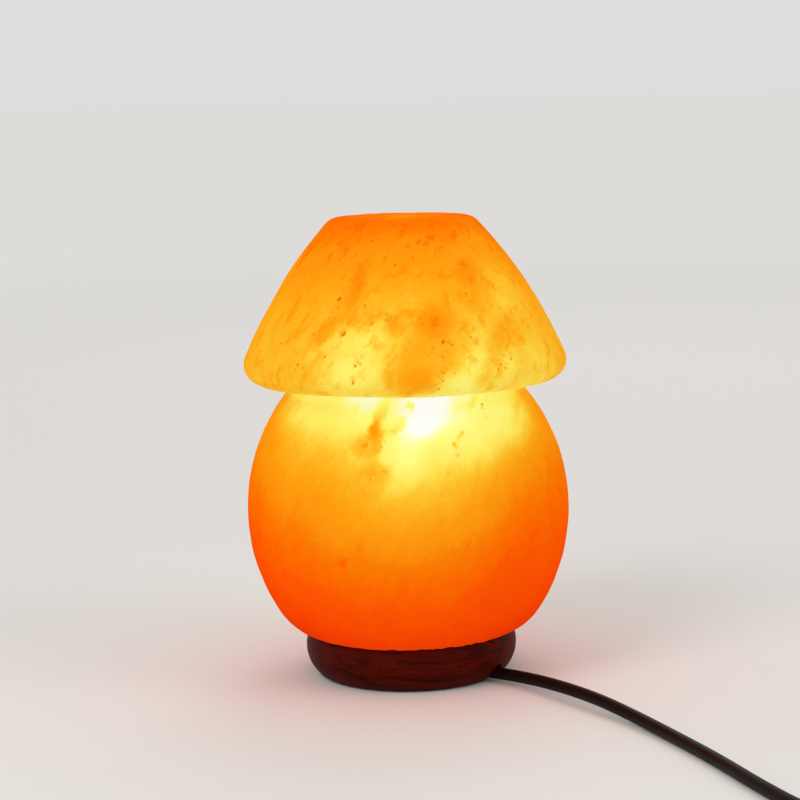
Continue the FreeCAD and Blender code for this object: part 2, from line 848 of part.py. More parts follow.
def make_holder():
    """The lamp holder with its contacts, terminals, cord grip, cap and ring nut."""
    keep(turned("holder_shell", holder_outline), "holder_shell")
    cap = turned("holder_cap", cap_outline)
    grip_height = S.cap_foot + S.cap_neck_length / 2
    drill = new_sketch(cap, "cap_grip_hole", "XZ_Plane")
    draw_circle(drill, 0.0, grip_height, S.grip_radius + S.fit_gap)
    pocket(cap, drill, S.cap_neck_radius, up=False)
    keep(cap, "holder_cap")
    grip_length = S.cap_neck_radius - S.cord_radius - S.fit_gap * 2
    along_y = Rotation(Vector(1, 0, 0), -90)
    start = S.cord_radius + S.fit_gap * 2
    grip = solid(
        "Cylinder",
        "grip_screw",
        0.0,
        start,
        grip_height,
        along_y,
        Radius=S.grip_radius,
        Height=grip_length,
    )
    keep(grip, "grip_screw")
    ring_foot = S.collar_foot + S.collar_height
    outer = S.holder_radius + S.ring_nut_wall
    ring("ring_nut", S.holder_radius + S.fit_gap, outer, ring_foot, S.ring_nut_height)
    shell_inner = S.thread_radius + S.thread_gap
    shell_outer = shell_inner + S.thread_shell_wall
    ring("thread_shell", shell_inner, shell_outer, S.holder_seat, S.thread_shell_height)

    tip = S.holder_seat + S.tip_height - S.contact_gap

    def contact_outline(sketch):
        foot = S.well_floor - S.block_height / 2
        line = Outline(sketch, 0.0, foot)
        line.line(S.contact_stem, foot)
        line.line(S.contact_stem, tip - S.contact_button)
        line.line(S.contact_radius, tip - S.contact_button)
        line.line(S.contact_radius, tip)
        line.line(0.0, tip)
        line.close()

    keep(turned("centre_contact", contact_outline), "centre_contact")
    block_foot = S.well_floor - S.block_height
    block = new_body("terminal_block")
    disc = new_sketch(block, "block_disc", "XY_Plane", block_foot)
    draw_circle(disc, 0.0, 0.0, S.holder_cavity - S.hole_ease)
    pad(block, disc, S.block_height)
    doc.recompute()
    centre = new_sketch(block, "block_contact_hole", "XY_Plane", block_foot)
    draw_circle(centre, 0.0, 0.0, S.contact_stem + S.fit_gap)
    pocket(block, centre, S.block_height)
    side = new_sketch(block, "block_terminal_hole", "XY_Plane", block_foot)
    draw_circle(side, S.terminal_offset, 0.0, S.terminal_shank + S.fit_gap)
    hole = pocket(block, side, S.block_height)
    around(block, [hole], 2, 360)
    keep(block, "terminal_block")
    terminals, leads = [], []
    for count, way in enumerate((1, -1)):
        x = S.terminal_offset * way
        head = solid(
            "Cylinder",
            f"terminal_head_{count}",
            x,
            0.0,
            block_foot - S.terminal_head,
            Radius=S.terminal_head,
            Height=S.terminal_head,
        )
        shank = solid(
            "Cylinder",
            f"terminal_shank_{count}",
            x,
            0.0,
            block_foot,
            Radius=S.terminal_shank,
            Height=S.block_height / 2,
        )
        screw = doc.addObject("Part::MultiFuse", f"terminal_{count}")
        screw.Shapes = [head, shank]
        terminals.append(screw)
        lead_foot = S.cap_foot + S.cord_entry + S.lead_gap
        foot = Vector(way * number(S.lead_radius + S.hole_ease), 0, number(lead_foot))
        end = Vector(number(x), 0, number(block_foot - S.terminal_head - S.fit_gap * 2))
        end.x -= way * number(S.terminal_head) / 2
        lean = Rotation(Vector(0, 0, 1), end - foot)
        lead = doc.addObject("Part::Cylinder", f"lead_{count}")
        bind(lead, Radius=S.lead_radius)
        lead.Height = (end - foot).Length - number(S.lead_radius)
        lead.Placement = Placement(foot, lean)
        leads.append(lead)
    group("terminal_screws", terminals)
    group("core_leads", leads)


def make_spring_clip():
    """Stamped spring clip: a collar on the holder with two bows that press on the wall of the bore."""
    inner = S.holder_radius + S.fit_gap

    def outline(sketch):
        outer = S.holder_radius + S.collar_wall
        line = Outline(sketch, inner, S.collar_foot)
        line.line(outer, S.collar_foot)
        line.line(outer, S.collar_foot + S.collar_height)
        line.line(inner, S.collar_foot + S.collar_height)
        line.close()

    body = turned("spring_clip", outline)
    bow = new_sketch(body, "clip_bow", "XZ_Plane")
    wall = S.bore_radius - S.clip_gap
    middle_x = root(wall * wall - S.clip_width * S.clip_width / 4) - S.clip_bow
    inside = S.clip_bow - S.clip_sheet
    root_x = S.holder_radius + S.collar_wall / 2
    reach = root_x - middle_x
    drop = root(S.clip_bow * S.clip_bow - reach * reach)
    middle_z = S.collar_foot + S.collar_height - drop
    inner_drop = root(inside * inside - reach * reach)
    free_x = root_x + S.clip_gap + S.collar_wall / 2
    free = free_x - middle_x
    free_drop = root(S.clip_bow * S.clip_bow - free * free)
    free_inner = root(inside * inside - free * free)
    centre = (middle_x, middle_z)
    line = Outline(bow, free_x, middle_z - free_drop)
    line.arc(S.clip_bow, root_x, middle_z + drop)
    line.line(root_x, middle_z + inner_drop)
    line.arc(inside, free_x, middle_z - free_inner, left=False)
    line.close()
    feature = pad(body, bow, S.clip_width, midplane=True)
    mirror = body.newObject("PartDesign::Mirrored", "clip_pair")
    mirror.Originals = [feature]
    mirror.MirrorPlane = (next(f for f in body.Origin.OriginFeatures if f.Role == "YZ_Plane"), [""])
    body.Tip = mirror
    return keep(body, "spring_clip")


# ---------------------------------------------------------------- bulb


def glass_line(sketch, inset):
    """Half the bulb's glass, from the cap's rim over the widest part to the top, inset by a wall."""
    neck = S.glass_neck - inset
    widest = S.glass_radius - inset
    drop = S.glass_shoulder - S.bulb_cap_top
    step = widest - neck
    swell = (drop * drop + step * step) / (step * 2)
    line = Outline(sketch, 0.0, S.bulb_cap_top)
    line.line(neck, S.bulb_cap_top)
    line.arc(swell, widest, S.glass_shoulder)
    line.line(widest, S.glass_dome)
    line.arc(widest, 0.0, S.glass_dome + widest)
    line.close()


def make_bulb():
    """Small screw bulb: thin glass, metal cap, insulator, contact, stem, supports and filament."""
    glass = turned("bulb_glass", lambda sketch: glass_line(sketch, Size("0", 0.0)))
    inside = new_sketch(glass, "glass_inside", "XZ_Plane")
    glass_line(inside, S.glass_wall)
    revolve(glass, inside, "Groove")
    keep(glass, "bulb_glass")
    tip_foot = S.holder_seat + S.tip_height
    insulator_foot = tip_foot + S.tip_height
    cap_foot = insulator_foot + S.insulator_height
    skirt = S.bulb_cap_top - S.bulb_cap_skirt + S.bulb_cap_shoulder
    wall = S.thread_shell_wall

    def cap_shape(sketch):
        line = Outline(sketch, S.thread_radius - wall, cap_foot)
        line.line(S.thread_radius, cap_foot)
        line.line(S.thread_radius, skirt)
        line.line(S.glass_neck, skirt + S.bulb_cap_skirt / 3)
        line.line(S.glass_neck, S.bulb_cap_top)
        line.line(S.glass_neck - wall, S.bulb_cap_top)
        line.line(S.thread_radius - wall, skirt)
        line.close()

    keep(turned("bulb_cap", cap_shape), "bulb_cap")

    def insulator_shape(sketch):
        line = Outline(sketch, 0.0, insulator_foot)
        line.line(S.contact_radius, insulator_foot)
        line.line(S.thread_radius - wall / 2, cap_foot)
        line.line(0.0, cap_foot)
        line.close()

    keep(turned("bulb_insulator", insulator_shape), "bulb_insulator")

    def tip_shape(sketch):
        line = Outline(sketch, 0.0, tip_foot)
        line.line(S.contact_stem, tip_foot)
        line.line(S.contact_radius - S.tip_height, insulator_foot)
        line.line(0.0, insulator_foot)
        line.close()

    keep(turned("bulb_contact", tip_shape), "bulb_contact")

    def stem_shape(sketch):
        flare = S.glass_neck - S.glass_wall - S.fit_gap
        line = Outline(sketch, 0.0, S.bulb_cap_top)
        line.line(flare, S.bulb_cap_top)
        line.line(flare, S.bulb_cap_top + S.glass_wall)
        line.line(S.stem_radius, S.bulb_cap_top + S.stem_radius)
        line.line(S.stem_radius, S.stem_top)
        line.line(0.0, S.stem_top)
        line.close()

    keep(turned("bulb_stem", stem_shape), "bulb_stem")
    supports = []
    foot = Vector(S.stem_radius.value / 2, 0, S.stem_top.value + S.support_radius.value)
    for way in (1, -1):
        low = Vector(way * foot.x, 0, foot.z)
        high = Vector(way * S.filament_reach.value, 0, S.filament_height.value)
        wire = Part.makeCylinder(S.support_radius.value, (high - low).Length, low, high - low)
        supports.append(wire)
    made = doc.addObject("Part::Feature", "filament_supports")
    made.Shape = Part.makeCompound(supports)
    keep(made, "filament_supports")
    ends = [Vector(way * S.filament_reach.value, 0, S.filament_height.value) for way in (-1, 1)]
    lift = Vector(0, 0, (S.support_radius + S.filament_radius + S.fit_gap / 2).value)
    sag = Vector(0, 0, S.filament_height.value - S.filament_radius.value * 3)
    path = Part.Wire([Part.Arc(ends[0] + lift, sag + lift, ends[1] + lift).toShape()])
    start = path.Edges[0]
    along = start.tangentAt(start.FirstParameter)
    circle = Part.Wire([Part.Circle(ends[0] + lift, along, S.filament_radius.value).toShape()])
    filament = doc.addObject("Part::Feature", "filament")
    filament.Shape = path.makePipeShell([circle], True, False)
    keep(filament, "filament")


# ---------------------------------------------------------------- in-line dimmer

UPSIDE_DOWN = Rotation(Vector(1, 0, 0), 180)


def case_outline(sketch, inset):
    """The case in plan: straight sides and round ends, inset by a wall."""
    half = S.dimmer_width / 2 - inset
    end = (S.dimmer_length - S.dimmer_width) / 2
    line = Outline(sketch, half, end * -1)
    line.line(half, end)
    line.arc(half, 0.0, end + half)
    line.arc(half, half * -1, end)
    line.line(half * -1, end * -1)
    line.arc(half, 0.0, (end + half) * -1)
    start = Vector(half.value, -end.value, 0)
    curve = Part.ArcOfCircle(
        Part.Circle(Vector(0, -end.value, 0), Vector(0, 0, 1), half.value), -math.pi / 2, 0.0
    )
    edge = line._add(curve, 1, 2, None, None, start, False)
    index = sketch.addConstraint(Sketcher.Constraint("Radius", edge, half.value))
    sketch.setExpression(f"Constraints[{index}]", half.formula)
    first = line.edges[0]
    sketch.addConstraint(Sketcher.Constraint("Coincident", edge, 2, first[0], first[1]))


def at_dimmer(made, z=0.0, x=0.0, y=0.0, rotation=None):
    """Places a piece of the dimmer, which lies along the way of the cord."""
    return put(made, S.dimmer_x + x, S.dimmer_y + y, z, rotation)


def case_half(name, foot, height, floor_first):
    """A hollow half of the case, open towards the other half."""
    body = new_body(name)
    plan = new_sketch(body, f"{name}_plan", "XY_Plane", foot)
    case_outline(plan, Size("0", 0.0))
    pad(body, plan, height)
    outside = foot if floor_first else foot + height

    def outer_edge(edge):
        box = edge.BoundBox
        return box.ZLength < 0.01 and abs(box.ZMin - number(outside)) < 0.01

    rounded(body, S.dimmer_round, outer_edge)
    hollow = new_sketch(body, f"{name}_hollow", "XY_Plane", foot + S.dimmer_wall if floor_first else foot)
    case_outline(hollow, S.dimmer_wall)
    pocket(body, hollow, height - S.dimmer_wall)
    return body


def cord_ways(body):
    """The round passages for the strain reliefs in both ends of a case half."""
    ways = new_sketch(body, f"{body.Name}_cord_way", "XZ_Plane")
    draw_circle(ways, 0.0, S.relief_height, S.relief_root + S.fit_gap)
    pocket(body, ways, S.dimmer_length + 1, midplane=True)


def make_dimmer():
    """The in-line dimmer: two case halves, board with its parts, shaft, knob, reliefs and screws."""
    tray = case_half("dimmer_tray", Size("0", 0.0), S.dimmer_split, True)
    ribs = new_sketch(tray, "tray_ribs", "XY_Plane", S.dimmer_wall)
    rib_x = S.board_width / 2
    rib_y = S.board_length / 2
    rib = S.dimmer_wall
    for way in (1, -1):
        line = Outline(ribs, rib_x * -1, rib_y * way - rib * way)
        line.line(rib_x, rib_y * way - rib * way)
        line.line(rib_x, rib_y * way - rib * (way * 2))
        line.line(rib_x * -1, rib_y * way - rib * (way * 2))
        line.close()
    pad(tray, ribs, S.board_height - S.dimmer_wall)
    cord_ways(tray)
    for way in (1, -1):
        hole = new_sketch(tray, f"tray_screw_hole_{way + 1}", "XY_Plane", 0.0)
        draw_circle(hole, S.case_screw_x * way, S.case_screw_y * way, S.case_screw_radius + S.fit_gap)
        pocket(tray, hole, S.dimmer_wall * 2)
    at_dimmer(keep(tray, "dimmer_tray"))

    cover = case_half("dimmer_cover", S.dimmer_split, S.dimmer_height - S.dimmer_split, False)
    inside_top = S.dimmer_height - S.dimmer_wall
    for way in (1, -1):
        boss = new_sketch(cover, f"cover_boss_{way + 1}", "XY_Plane", S.dimmer_wall)
        draw_circle(boss, S.case_screw_x * way, S.case_screw_y * way, S.case_boss_radius)
        pad(cover, boss, inside_top - S.dimmer_wall)
        hole = new_sketch(cover, f"cover_screw_hole_{way + 1}", "XY_Plane", S.dimmer_wall)
        draw_circle(hole, S.case_screw_x * way, S.case_screw_y * way, S.case_screw_radius + S.fit_gap)
        doc.recompute()
        pocket(cover, hole, S.dimmer_split)
    eye = new_sketch(cover, "cover_knob_hole", "XY_Plane", S.dimmer_split)
    draw_circle(eye, 0.0, 0.0, S.knob_radius + S.knob_ease)
    pocket(cover, eye, S.dimmer_height)
    cord_ways(cover)
    at_dimmer(keep(cover, "dimmer_cover"))

    screws = []
    for way in (1, -1):
        x = S.case_screw_x * way
        y = S.case_screw_y * way
        shank = solid(
            "Cylinder",
            f"case_screw_{way + 1}",
            Radius=S.case_screw_radius,
            Height=S.dimmer_split,
        )
        screws.append(at_dimmer(shank, S.fit_gap * 4, x, y))
    group("dimmer_screws", screws)

    board = solid("Box", "dimmer_board", Length=S.board_width, Width=S.board_length, Height=S.board_sheet)
    at_dimmer(keep(board, "dimmer_board"), S.board_height, S.board_width / -2, S.board_length / -2)
    on_board = S.board_height + S.board_sheet
    pot = solid("Box", "potentiometer", Length=S.pot_side, Width=S.pot_side, Height=S.pot_height)
    at_dimmer(keep(pot, "potentiometer"), on_board, S.pot_side / -2, S.pot_side / -2)
    triac_foot = S.board_length / 2 - S.triac_sheet - S.part_margin
    triac = solid("Box", "dimmer_triac", Length=S.triac_width, Width=S.triac_sheet, Height=S.triac_height)
    at_dimmer(keep(triac, "dimmer_triac"), on_board, S.triac_width / -2, triac_foot)
    drum = solid("Cylinder", "dimmer_capacitor", Radius=S.capacitor_radius, Height=S.capacitor_height)
    drum_middle = S.capacitor_radius + S.part_margin - S.board_length / 2
    at_dimmer(keep(drum, "dimmer_capacitor"), on_board, 0.0, drum_middle)

    shaft_foot = on_board + S.pot_height + S.contact_gap
    flange_foot = inside_top - S.knob_ease - S.knob_flange_height
    shaft = solid("Cylinder", "pot_shaft", Radius=S.shaft_radius, Height=flange_foot - shaft_foot)
    at_dimmer(keep(shaft, "pot_shaft"), shaft_foot)
    knob = new_body("dimmer_knob")
    flange = new_sketch(knob, "knob_flange", "XY_Plane", flange_foot)
    draw_circle(flange, 0.0, 0.0, S.knob_radius + S.knob_flange)
    pad(knob, flange, S.knob_flange_height)
    dial = new_sketch(knob, "knob_dial", "XY_Plane", flange_foot)
    draw_circle(dial, 0.0, 0.0, S.knob_radius)
    knob_height = S.dimmer_height + S.knob_stand - flange_foot
    pad(knob, dial, knob_height)
    doc.recompute()
    knurl = new_sketch(knob, "knob_knurl", "XY_Plane", S.dimmer_height)
    draw_circle(knurl, S.knob_radius, 0.0, S.knurl_radius)
    cut = pocket(knob, knurl, S.knob_stand + S.hole_ease)
    around(knob, [cut], KNURLS, 360)
    mark = new_sketch(knob, "knob_mark", "XY_Plane", S.dimmer_height + S.knob_stand / 2)
    line = Outline(mark, S.knurl_radius, S.mark_start)
    line.line(S.knurl_radius, S.mark_end)
    line.line(S.knurl_radius * -1, S.mark_end)
    line.line(S.knurl_radius * -1, S.mark_start)
    line.close()
    pocket(knob, mark, S.knob_stand)
    at_dimmer(keep(knob, "dimmer_knob"))

    # The flange lies behind the round end of the case, whose wall curves away from it.
    round_end = S.dimmer_width / 2 - S.dimmer_wall
    flange = S.relief_root + S.relief_flange
    behind = S.dimmer_wall + S.fit_gap + round_end - root(round_end * round_end - flange * flange)
    for name, way in (("dimmer_relief_in", -1), ("dimmer_relief_out", 1)):
        relief = strain_relief(name, S.relief_root, S.relief_length, behind)
        start = (S.dimmer_length / 2) * way
        at_dimmer(keep(relief, name), S.relief_height, 0.0, start, Rotation(Vector(1, 0, 0), -90 * way))


def strain_relief(name, root_radius, length, sunk):
    """A ribbed, tapering sleeve, drawn upright with its root flange sunk behind a wall."""

    def outline(sketch):
        ribs = 4
        pitch = length / (ribs * 2)
        slim = (root_radius - S.cord_radius - S.hole_ease) / (ribs * 2)
        line = Outline(sketch, 0.0, (sunk + S.relief_flange) * -1)
        line.line(root_radius + S.relief_flange, (sunk + S.relief_flange) * -1)
        line.line(root_radius + S.relief_flange, sunk * -1)
        line.line(root_radius, sunk * -1)
        line.line(root_radius, pitch)
        for rib in range(1, ribs):
            groove = root_radius - slim * (rib * 2) - S.cord_radius / 5
            band = root_radius - slim * (rib * 2)
            line.line(groove, pitch * (rib * 2 - 1) + S.fit_gap)
            line.line(groove, pitch * (rib * 2))
            line.line(band, pitch * (rib * 2))
            line.line(band, pitch * (rib * 2 + 1))
        line.line(S.cord_radius + S.hole_ease, length)
        line.line(0.0, length)
        line.close()

    return turned(name, outline)


# ---------------------------------------------------------------- plug


def rounded_rectangle(sketch, width, height, radius):
    """A rectangle with round corners about the sketch's middle."""
    x = width / 2
    y = height / 2
    line = Outline(sketch, x, (y - radius) * -1)
    line.line(x, y - radius)
    line.arc(radius, x - radius, y)
    line.line((x - radius) * -1, y)
    line.arc(radius, x * -1, y - radius)
    line.line(x * -1, (y - radius) * -1)
    line.arc(radius, (x - radius) * -1, y * -1)
    line.line(x - radius, y * -1)
    curve = Part.ArcOfCircle(
        Part.Circle(Vector((x - radius).value, -(y - radius).value, 0), Vector(0, 0, 1), radius.value),
        -math.pi / 2,
        0.0,
    )
    edge = line._add(curve, 1, 2, None, None, Vector(x.value, -(y - radius).value, 0), False)
    index = sketch.addConstraint(Sketcher.Constraint("Radius", edge, radius.value))
    sketch.setExpression(f"Constraints[{index}]", radius.formula)
    first = line.edges[0]
    sketch.addConstraint(Sketcher.Constraint("Coincident", edge, 2, first[0], first[1]))


def make_plug():
    """The plug: a moulded grip that narrows to its heel, a strain relief and two flat blades."""
    body = new_body("plug_body")
    heel = new_sketch(body, "plug_heel", "XY_Plane", 0.0)
    rounded_rectangle(heel, S.plug_heel_width, S.plug_heel_height, S.plug_round)
    waist = new_sketch(body, "plug_waist", "XY_Plane", S.plug_waist)
    rounded_rectangle(waist, S.plug_waist_width, S.plug_waist_height, S.plug_round)
    face = new_sketch(body, "plug_face", "XY_Plane", S.plug_length)
    rounded_rectangle(face, S.plug_width, S.plug_height, S.plug_round)
    loft = body.newObject("PartDesign::AdditiveLoft", "plug_loft")
    loft.Profile = heel
    loft.Sections = [waist, face]
    loft.Ruled = True
    to_front = Rotation(Vector(1, 0, 0), 90)
    put(keep(body, "plug_body"), S.plug_x, S.plug_y, S.plug_axis, to_front)
    outside = (S.relief_flange + S.fit_gap) * -1
    relief = strain_relief("plug_relief", S.relief_root, S.relief_length, outside)
    put(keep(relief, "plug_relief"), S.plug_x, S.plug_y, S.plug_axis, Rotation(Vector(1, 0, 0), -90))
    blades = []
    for count, way in enumerate((1, -1)):
        x = S.plug_x + S.pin_spacing * (way / 2) - S.pin_sheet / 2
        y = S.plug_y - S.plug_length - S.pin_length
        blade = solid(
            "Box",
            f"blade_{count}",
            x,
            y,
            S.plug_axis - S.pin_width / 2,
            Length=S.pin_sheet,
            Width=S.pin_length,
            Height=S.pin_width,
        )
        across = Rotation(Vector(0, 1, 0), 90)
        hole = solid(
            "Cylinder",
            f"blade_hole_{count}",
            x,
            y + S.pin_width / 2,
            S.plug_axis,
            across,
            Radius=S.pin_hole,
            Height=S.pin_sheet,
        )
        blades.append(less(f"plug_blade_{count}", blade, hole))
    group("plug_pins", blades)


# ---------------------------------------------------------------- cord


def make_cord(label, route):
    """A plain tube along straight runs joined by arcs as large as the runs allow."""
    corners = [Vector(*point) for point in route]
    edges, radii = [], []
    here = corners[0]
    for before, corner, after in zip(corners, corners[1:], corners[2:]):
        back, ahead = before - corner, after - corner
        turn = math.pi - back.getAngle(ahead)
        cut = 0.45 * min(back.Length, ahead.Length)
        radius = cut / math.tan(turn / 2)
        radii.append(radius)
        begin = corner + Vector(back).normalize() * cut
        end = corner + Vector(ahead).normalize() * cut
        bisector = (Vector(back).normalize() + Vector(ahead).normalize()).normalize()
        middle = corner + bisector * (radius / math.cos(turn / 2) - radius)
        edges.append(Part.LineSegment(here, begin).toShape())
        edges.append(Part.Arc(begin, middle, end).toShape())
        here = end
    edges.append(Part.LineSegment(here, corners[-1]).toShape())
    path = Part.Wire(edges)
    section = Part.Circle(corners[0], corners[1] - corners[0], S.cord_radius.value)
    tube = path.makePipeShell([Part.Wire([section.toShape()])], True, False)
    expected = math.pi * S.cord_radius.value**2 * path.Length
    print(label, "length", round(path.Length, 1), "radii", [round(r, 1) for r in radii])
    print(label, "volume over section times length", round(tube.Volume / expected, 4))
    made = doc.addObject("Part::Feature", label)
    made.Shape = tube
    return keep(made, label)


def coil_outline(sketch):
    """The outer shape of the coil's turns, with bevelled shoulders."""
    inner = S.coil_inner_turn - S.cord_radius
    outer = S.coil_outer_turn + S.cord_radius
    bevel = S.coil_bevel
    line = Outline(sketch, inner, bevel)
    line.line(inner + bevel, 0.0)
    line.line(outer - bevel, 0.0)
    line.line(outer, bevel)
    line.line(outer, S.coil_height - bevel)
    line.line(outer - bevel, S.coil_height)
    line.line(inner + bevel, S.coil_height)
    line.line(inner, S.coil_height - bevel)
    line.close()


def make_cords():
    """The cord from the holder to the dimmer and on to the coil and the plug."""
    make_cord("lamp_cord", LAMP_CORD_ROUTE)
    make_cord("link_cord", LINK_CORD_ROUTE)
    make_cord("plug_cord", PLUG_CORD_ROUTE)
    coil = turned("cord_coil", coil_outline)
    put(keep(coil, "cord_coil"), S.coil_x, S.coil_y)


# ---------------------------------------------------------------- build and write


make_salt_block()
make_wooden_base()
make_fixings()
make_holder()
make_spring_clip()
make_bulb()
make_dimmer()
make_plug()
make_cords()
doc.recompute()

faults = [o.Name for o in doc.Objects if {"Invalid", "Error"} & set(o.State)]
faults += [label for label, made in nodes.items() if made.Shape.isNull() or not made.Shape.isValid()]
if faults:
    raise RuntimeError(f"these objects failed: {faults}")

os.makedirs("parts", exist_ok=True)
for label, made in nodes.items():
    made.Shape.exportStep(os.path.join("parts", f"{label}.step"))
print(len(nodes), "sub-parts written")
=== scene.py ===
"""Looks of a carved salt lamp: a ball of rock salt under a cone-shaped top, lit from inside.

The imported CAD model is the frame. The salt block and the cord are modelled here in full; the other
pieces keep their CAD shape and get their finish. Lengths in the classes are millimetres; meshes are
in metres.
"""

from __future__ import annotations

import logging
import math
import random
from dataclasses import dataclass
from enum import Enum
from typing import Sequence

import bpy
import numpy as np
from bpy.types import Material, Node, NodeSocket, NodeTree, Object
from mathutils import Euler, Matrix, Vector


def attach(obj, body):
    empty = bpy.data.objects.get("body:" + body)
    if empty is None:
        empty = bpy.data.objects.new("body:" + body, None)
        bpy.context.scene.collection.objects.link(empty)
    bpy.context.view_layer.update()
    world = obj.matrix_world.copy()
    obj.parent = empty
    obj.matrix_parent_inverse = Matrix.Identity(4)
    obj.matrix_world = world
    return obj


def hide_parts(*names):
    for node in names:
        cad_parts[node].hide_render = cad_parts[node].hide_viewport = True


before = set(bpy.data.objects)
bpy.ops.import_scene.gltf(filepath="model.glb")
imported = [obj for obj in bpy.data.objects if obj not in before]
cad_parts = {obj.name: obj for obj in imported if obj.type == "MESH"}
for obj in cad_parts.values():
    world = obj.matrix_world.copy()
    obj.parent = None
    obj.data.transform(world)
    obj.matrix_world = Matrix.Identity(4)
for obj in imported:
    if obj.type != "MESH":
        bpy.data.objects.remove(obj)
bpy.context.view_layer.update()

MM = 0.001  # metres in a millimetre
FILAMENT = (0.0, 0.0, 113.0)  # middle of the lit wire
NOISE_LOW, NOISE_HIGH = 0.3, 0.7  # a noise pattern hardly leaves this span
NOISE_MIDDLE = (0.5, 0.5, 0.5)
SAME_SPOT = 0.00001  # metres; vertices closer than this become one
SMOOTH = math.radians(40.0)  # sharper edges than this keep their crease
log = logging.getLogger("salt_lamp")
Point = tuple[float, float, float]
Spot = tuple[float, float]
Outline = list[Spot]

# ---- materials


def linear(code: str) -> tuple[float, float, float, float]:
    """Turns an sRGB hex value into the linear colour that a shader takes.

    Args:
        code: six hex digits.

    Returns:
        Red, green, blue and alpha.
    """
    parts = [int(code[i : i + 2], 16) / 255 for i in (0, 2, 4)]
    red, green, blue = (p / 12.92 if p <= 0.04045 else ((p + 0.055) / 1.055) ** 2.4 for p in parts)
    return red, green, blue, 1.0


def add_node(tree: NodeTree, kind: str, feeds: dict | None = None, **settings: object) -> Node:
    """Adds a node with its settings, values and links.

    Args:
        tree: the material's node tree.
        kind: the node's type name, without "ShaderNode".
        feeds: for an input's name or index, a value or the output that feeds it.
        settings: the node's own properties.

    Returns:
        The new node.
    """
    made = tree.nodes.new(f"ShaderNode{kind}")
    for name, value in settings.items():
        setattr(made, name, value)
    for socket, value in (feeds or {}).items():
        if isinstance(value, NodeSocket):
            tree.links.new(value, made.inputs[socket])
        else:
            made.inputs[socket].default_value = value
    return made


def set_ramp(ramp: Node, stops: Sequence[tuple[float, str]]) -> None:
    """Gives a colour ramp its stops.

    Args:
        ramp: the node.
        stops: place from 0 to 1 and colour, in order.
    """
    elements = ramp.color_ramp.elements
    while len(elements) > 1:
        elements.remove(elements[-1])
    elements[0].position, elements[0].color = stops[0][0], linear(stops[0][1])
    for place, code in stops[1:]:
        elements.new(place).color = linear(code)


class Finish:
    """A material and the nodes that most finishes start from."""

    def __init__(self, name: str) -> None:
        """Starts a material with a plain shader, and finds each place on the piece in millimetres.

        Args:
            name: the material's name.
        """
        self.material = bpy.data.materials.new(name)
        self.material.use_nodes = True
        self.tree = self.material.node_tree
        self.shader = next(n for n in self.tree.nodes if n.type == "BSDF_PRINCIPLED")
        to_mm = {0: add_node(self.tree, "TexCoord").outputs["Object"], "Scale": 1 / MM}
        self.place = add_node(self.tree, "VectorMath", to_mm, operation="SCALE").outputs[0]

    def put(self, **values: object) -> None:
        """Sets inputs of the shader.

        Args:
            values: for an input's name, with underscores for spaces, a value or what feeds it.
        """
        for name, value in values.items():
            socket = self.shader.inputs[name.replace("_", " ")]
            if isinstance(value, NodeSocket):
                self.tree.links.new(value, socket)
            else:
                socket.default_value = value

    def noise(
        self,
        size: float,
        detail: float = 3.0,
        stretch: Point | None = None,
        lean: Point = (0, 0, 0),
        roughness: float = 0.5,
    ) -> Node:
        """A noise pattern whose features are about a size in millimetres.

        Args:
            size: width of the largest features.
            detail: how many finer layers it has.
            stretch: how much longer the features are along each axis.
            lean: how the stretched pattern is turned, in degrees.
            roughness: how strong each finer layer is beside the one before it.

        Returns:
            The noise node.
        """
        place = self.place
        if stretch:
            laid = {0: place, "Rotation": Euler([math.radians(a) for a in lean]), "Scale": stretch}
            place = add_node(self.tree, "Mapping", laid, vector_type="TEXTURE").outputs[0]
        feeds = {"Vector": place, "Scale": 1 / size, "Detail": detail, "Roughness": roughness}
        return add_node(self.tree, "TexNoise", feeds)

    def bump(self, height: NodeSocket, depth: float) -> None:
        """Lets a pattern raise the surface by up to a depth in millimetres."""
        feeds = {"Height": height, "Distance": depth * MM, "Strength": 1.0}
        self.put(Normal=add_node(self.tree, "Bump", feeds).outputs[0])

    def mottled(self, height: NodeSocket, low: str, high: str) -> NodeSocket:
        """A colour that follows a pattern from one tone to another.

        Args:
            height: the pattern.
            low: the tone of its low places.
            high: the tone of its high places.

        Returns:
            The colour.
        """
        ramp = add_node(self.tree, "ValToRGB", {0: height})
        set_ramp(ramp, [(NOISE_LOW, low), (NOISE_HIGH, high)])
        return ramp.outputs[0]


@dataclass(frozen=True)
class Patch:
    """A cloudy place in the salt that lets more or less light through, or a painted highlight where
    the glow is brightest.

    depth is the salt, in millimetres, that seems added there; a lighter place has a negative depth.
    """

    middle: Point
    size: Point
    lean: float
    depth: float


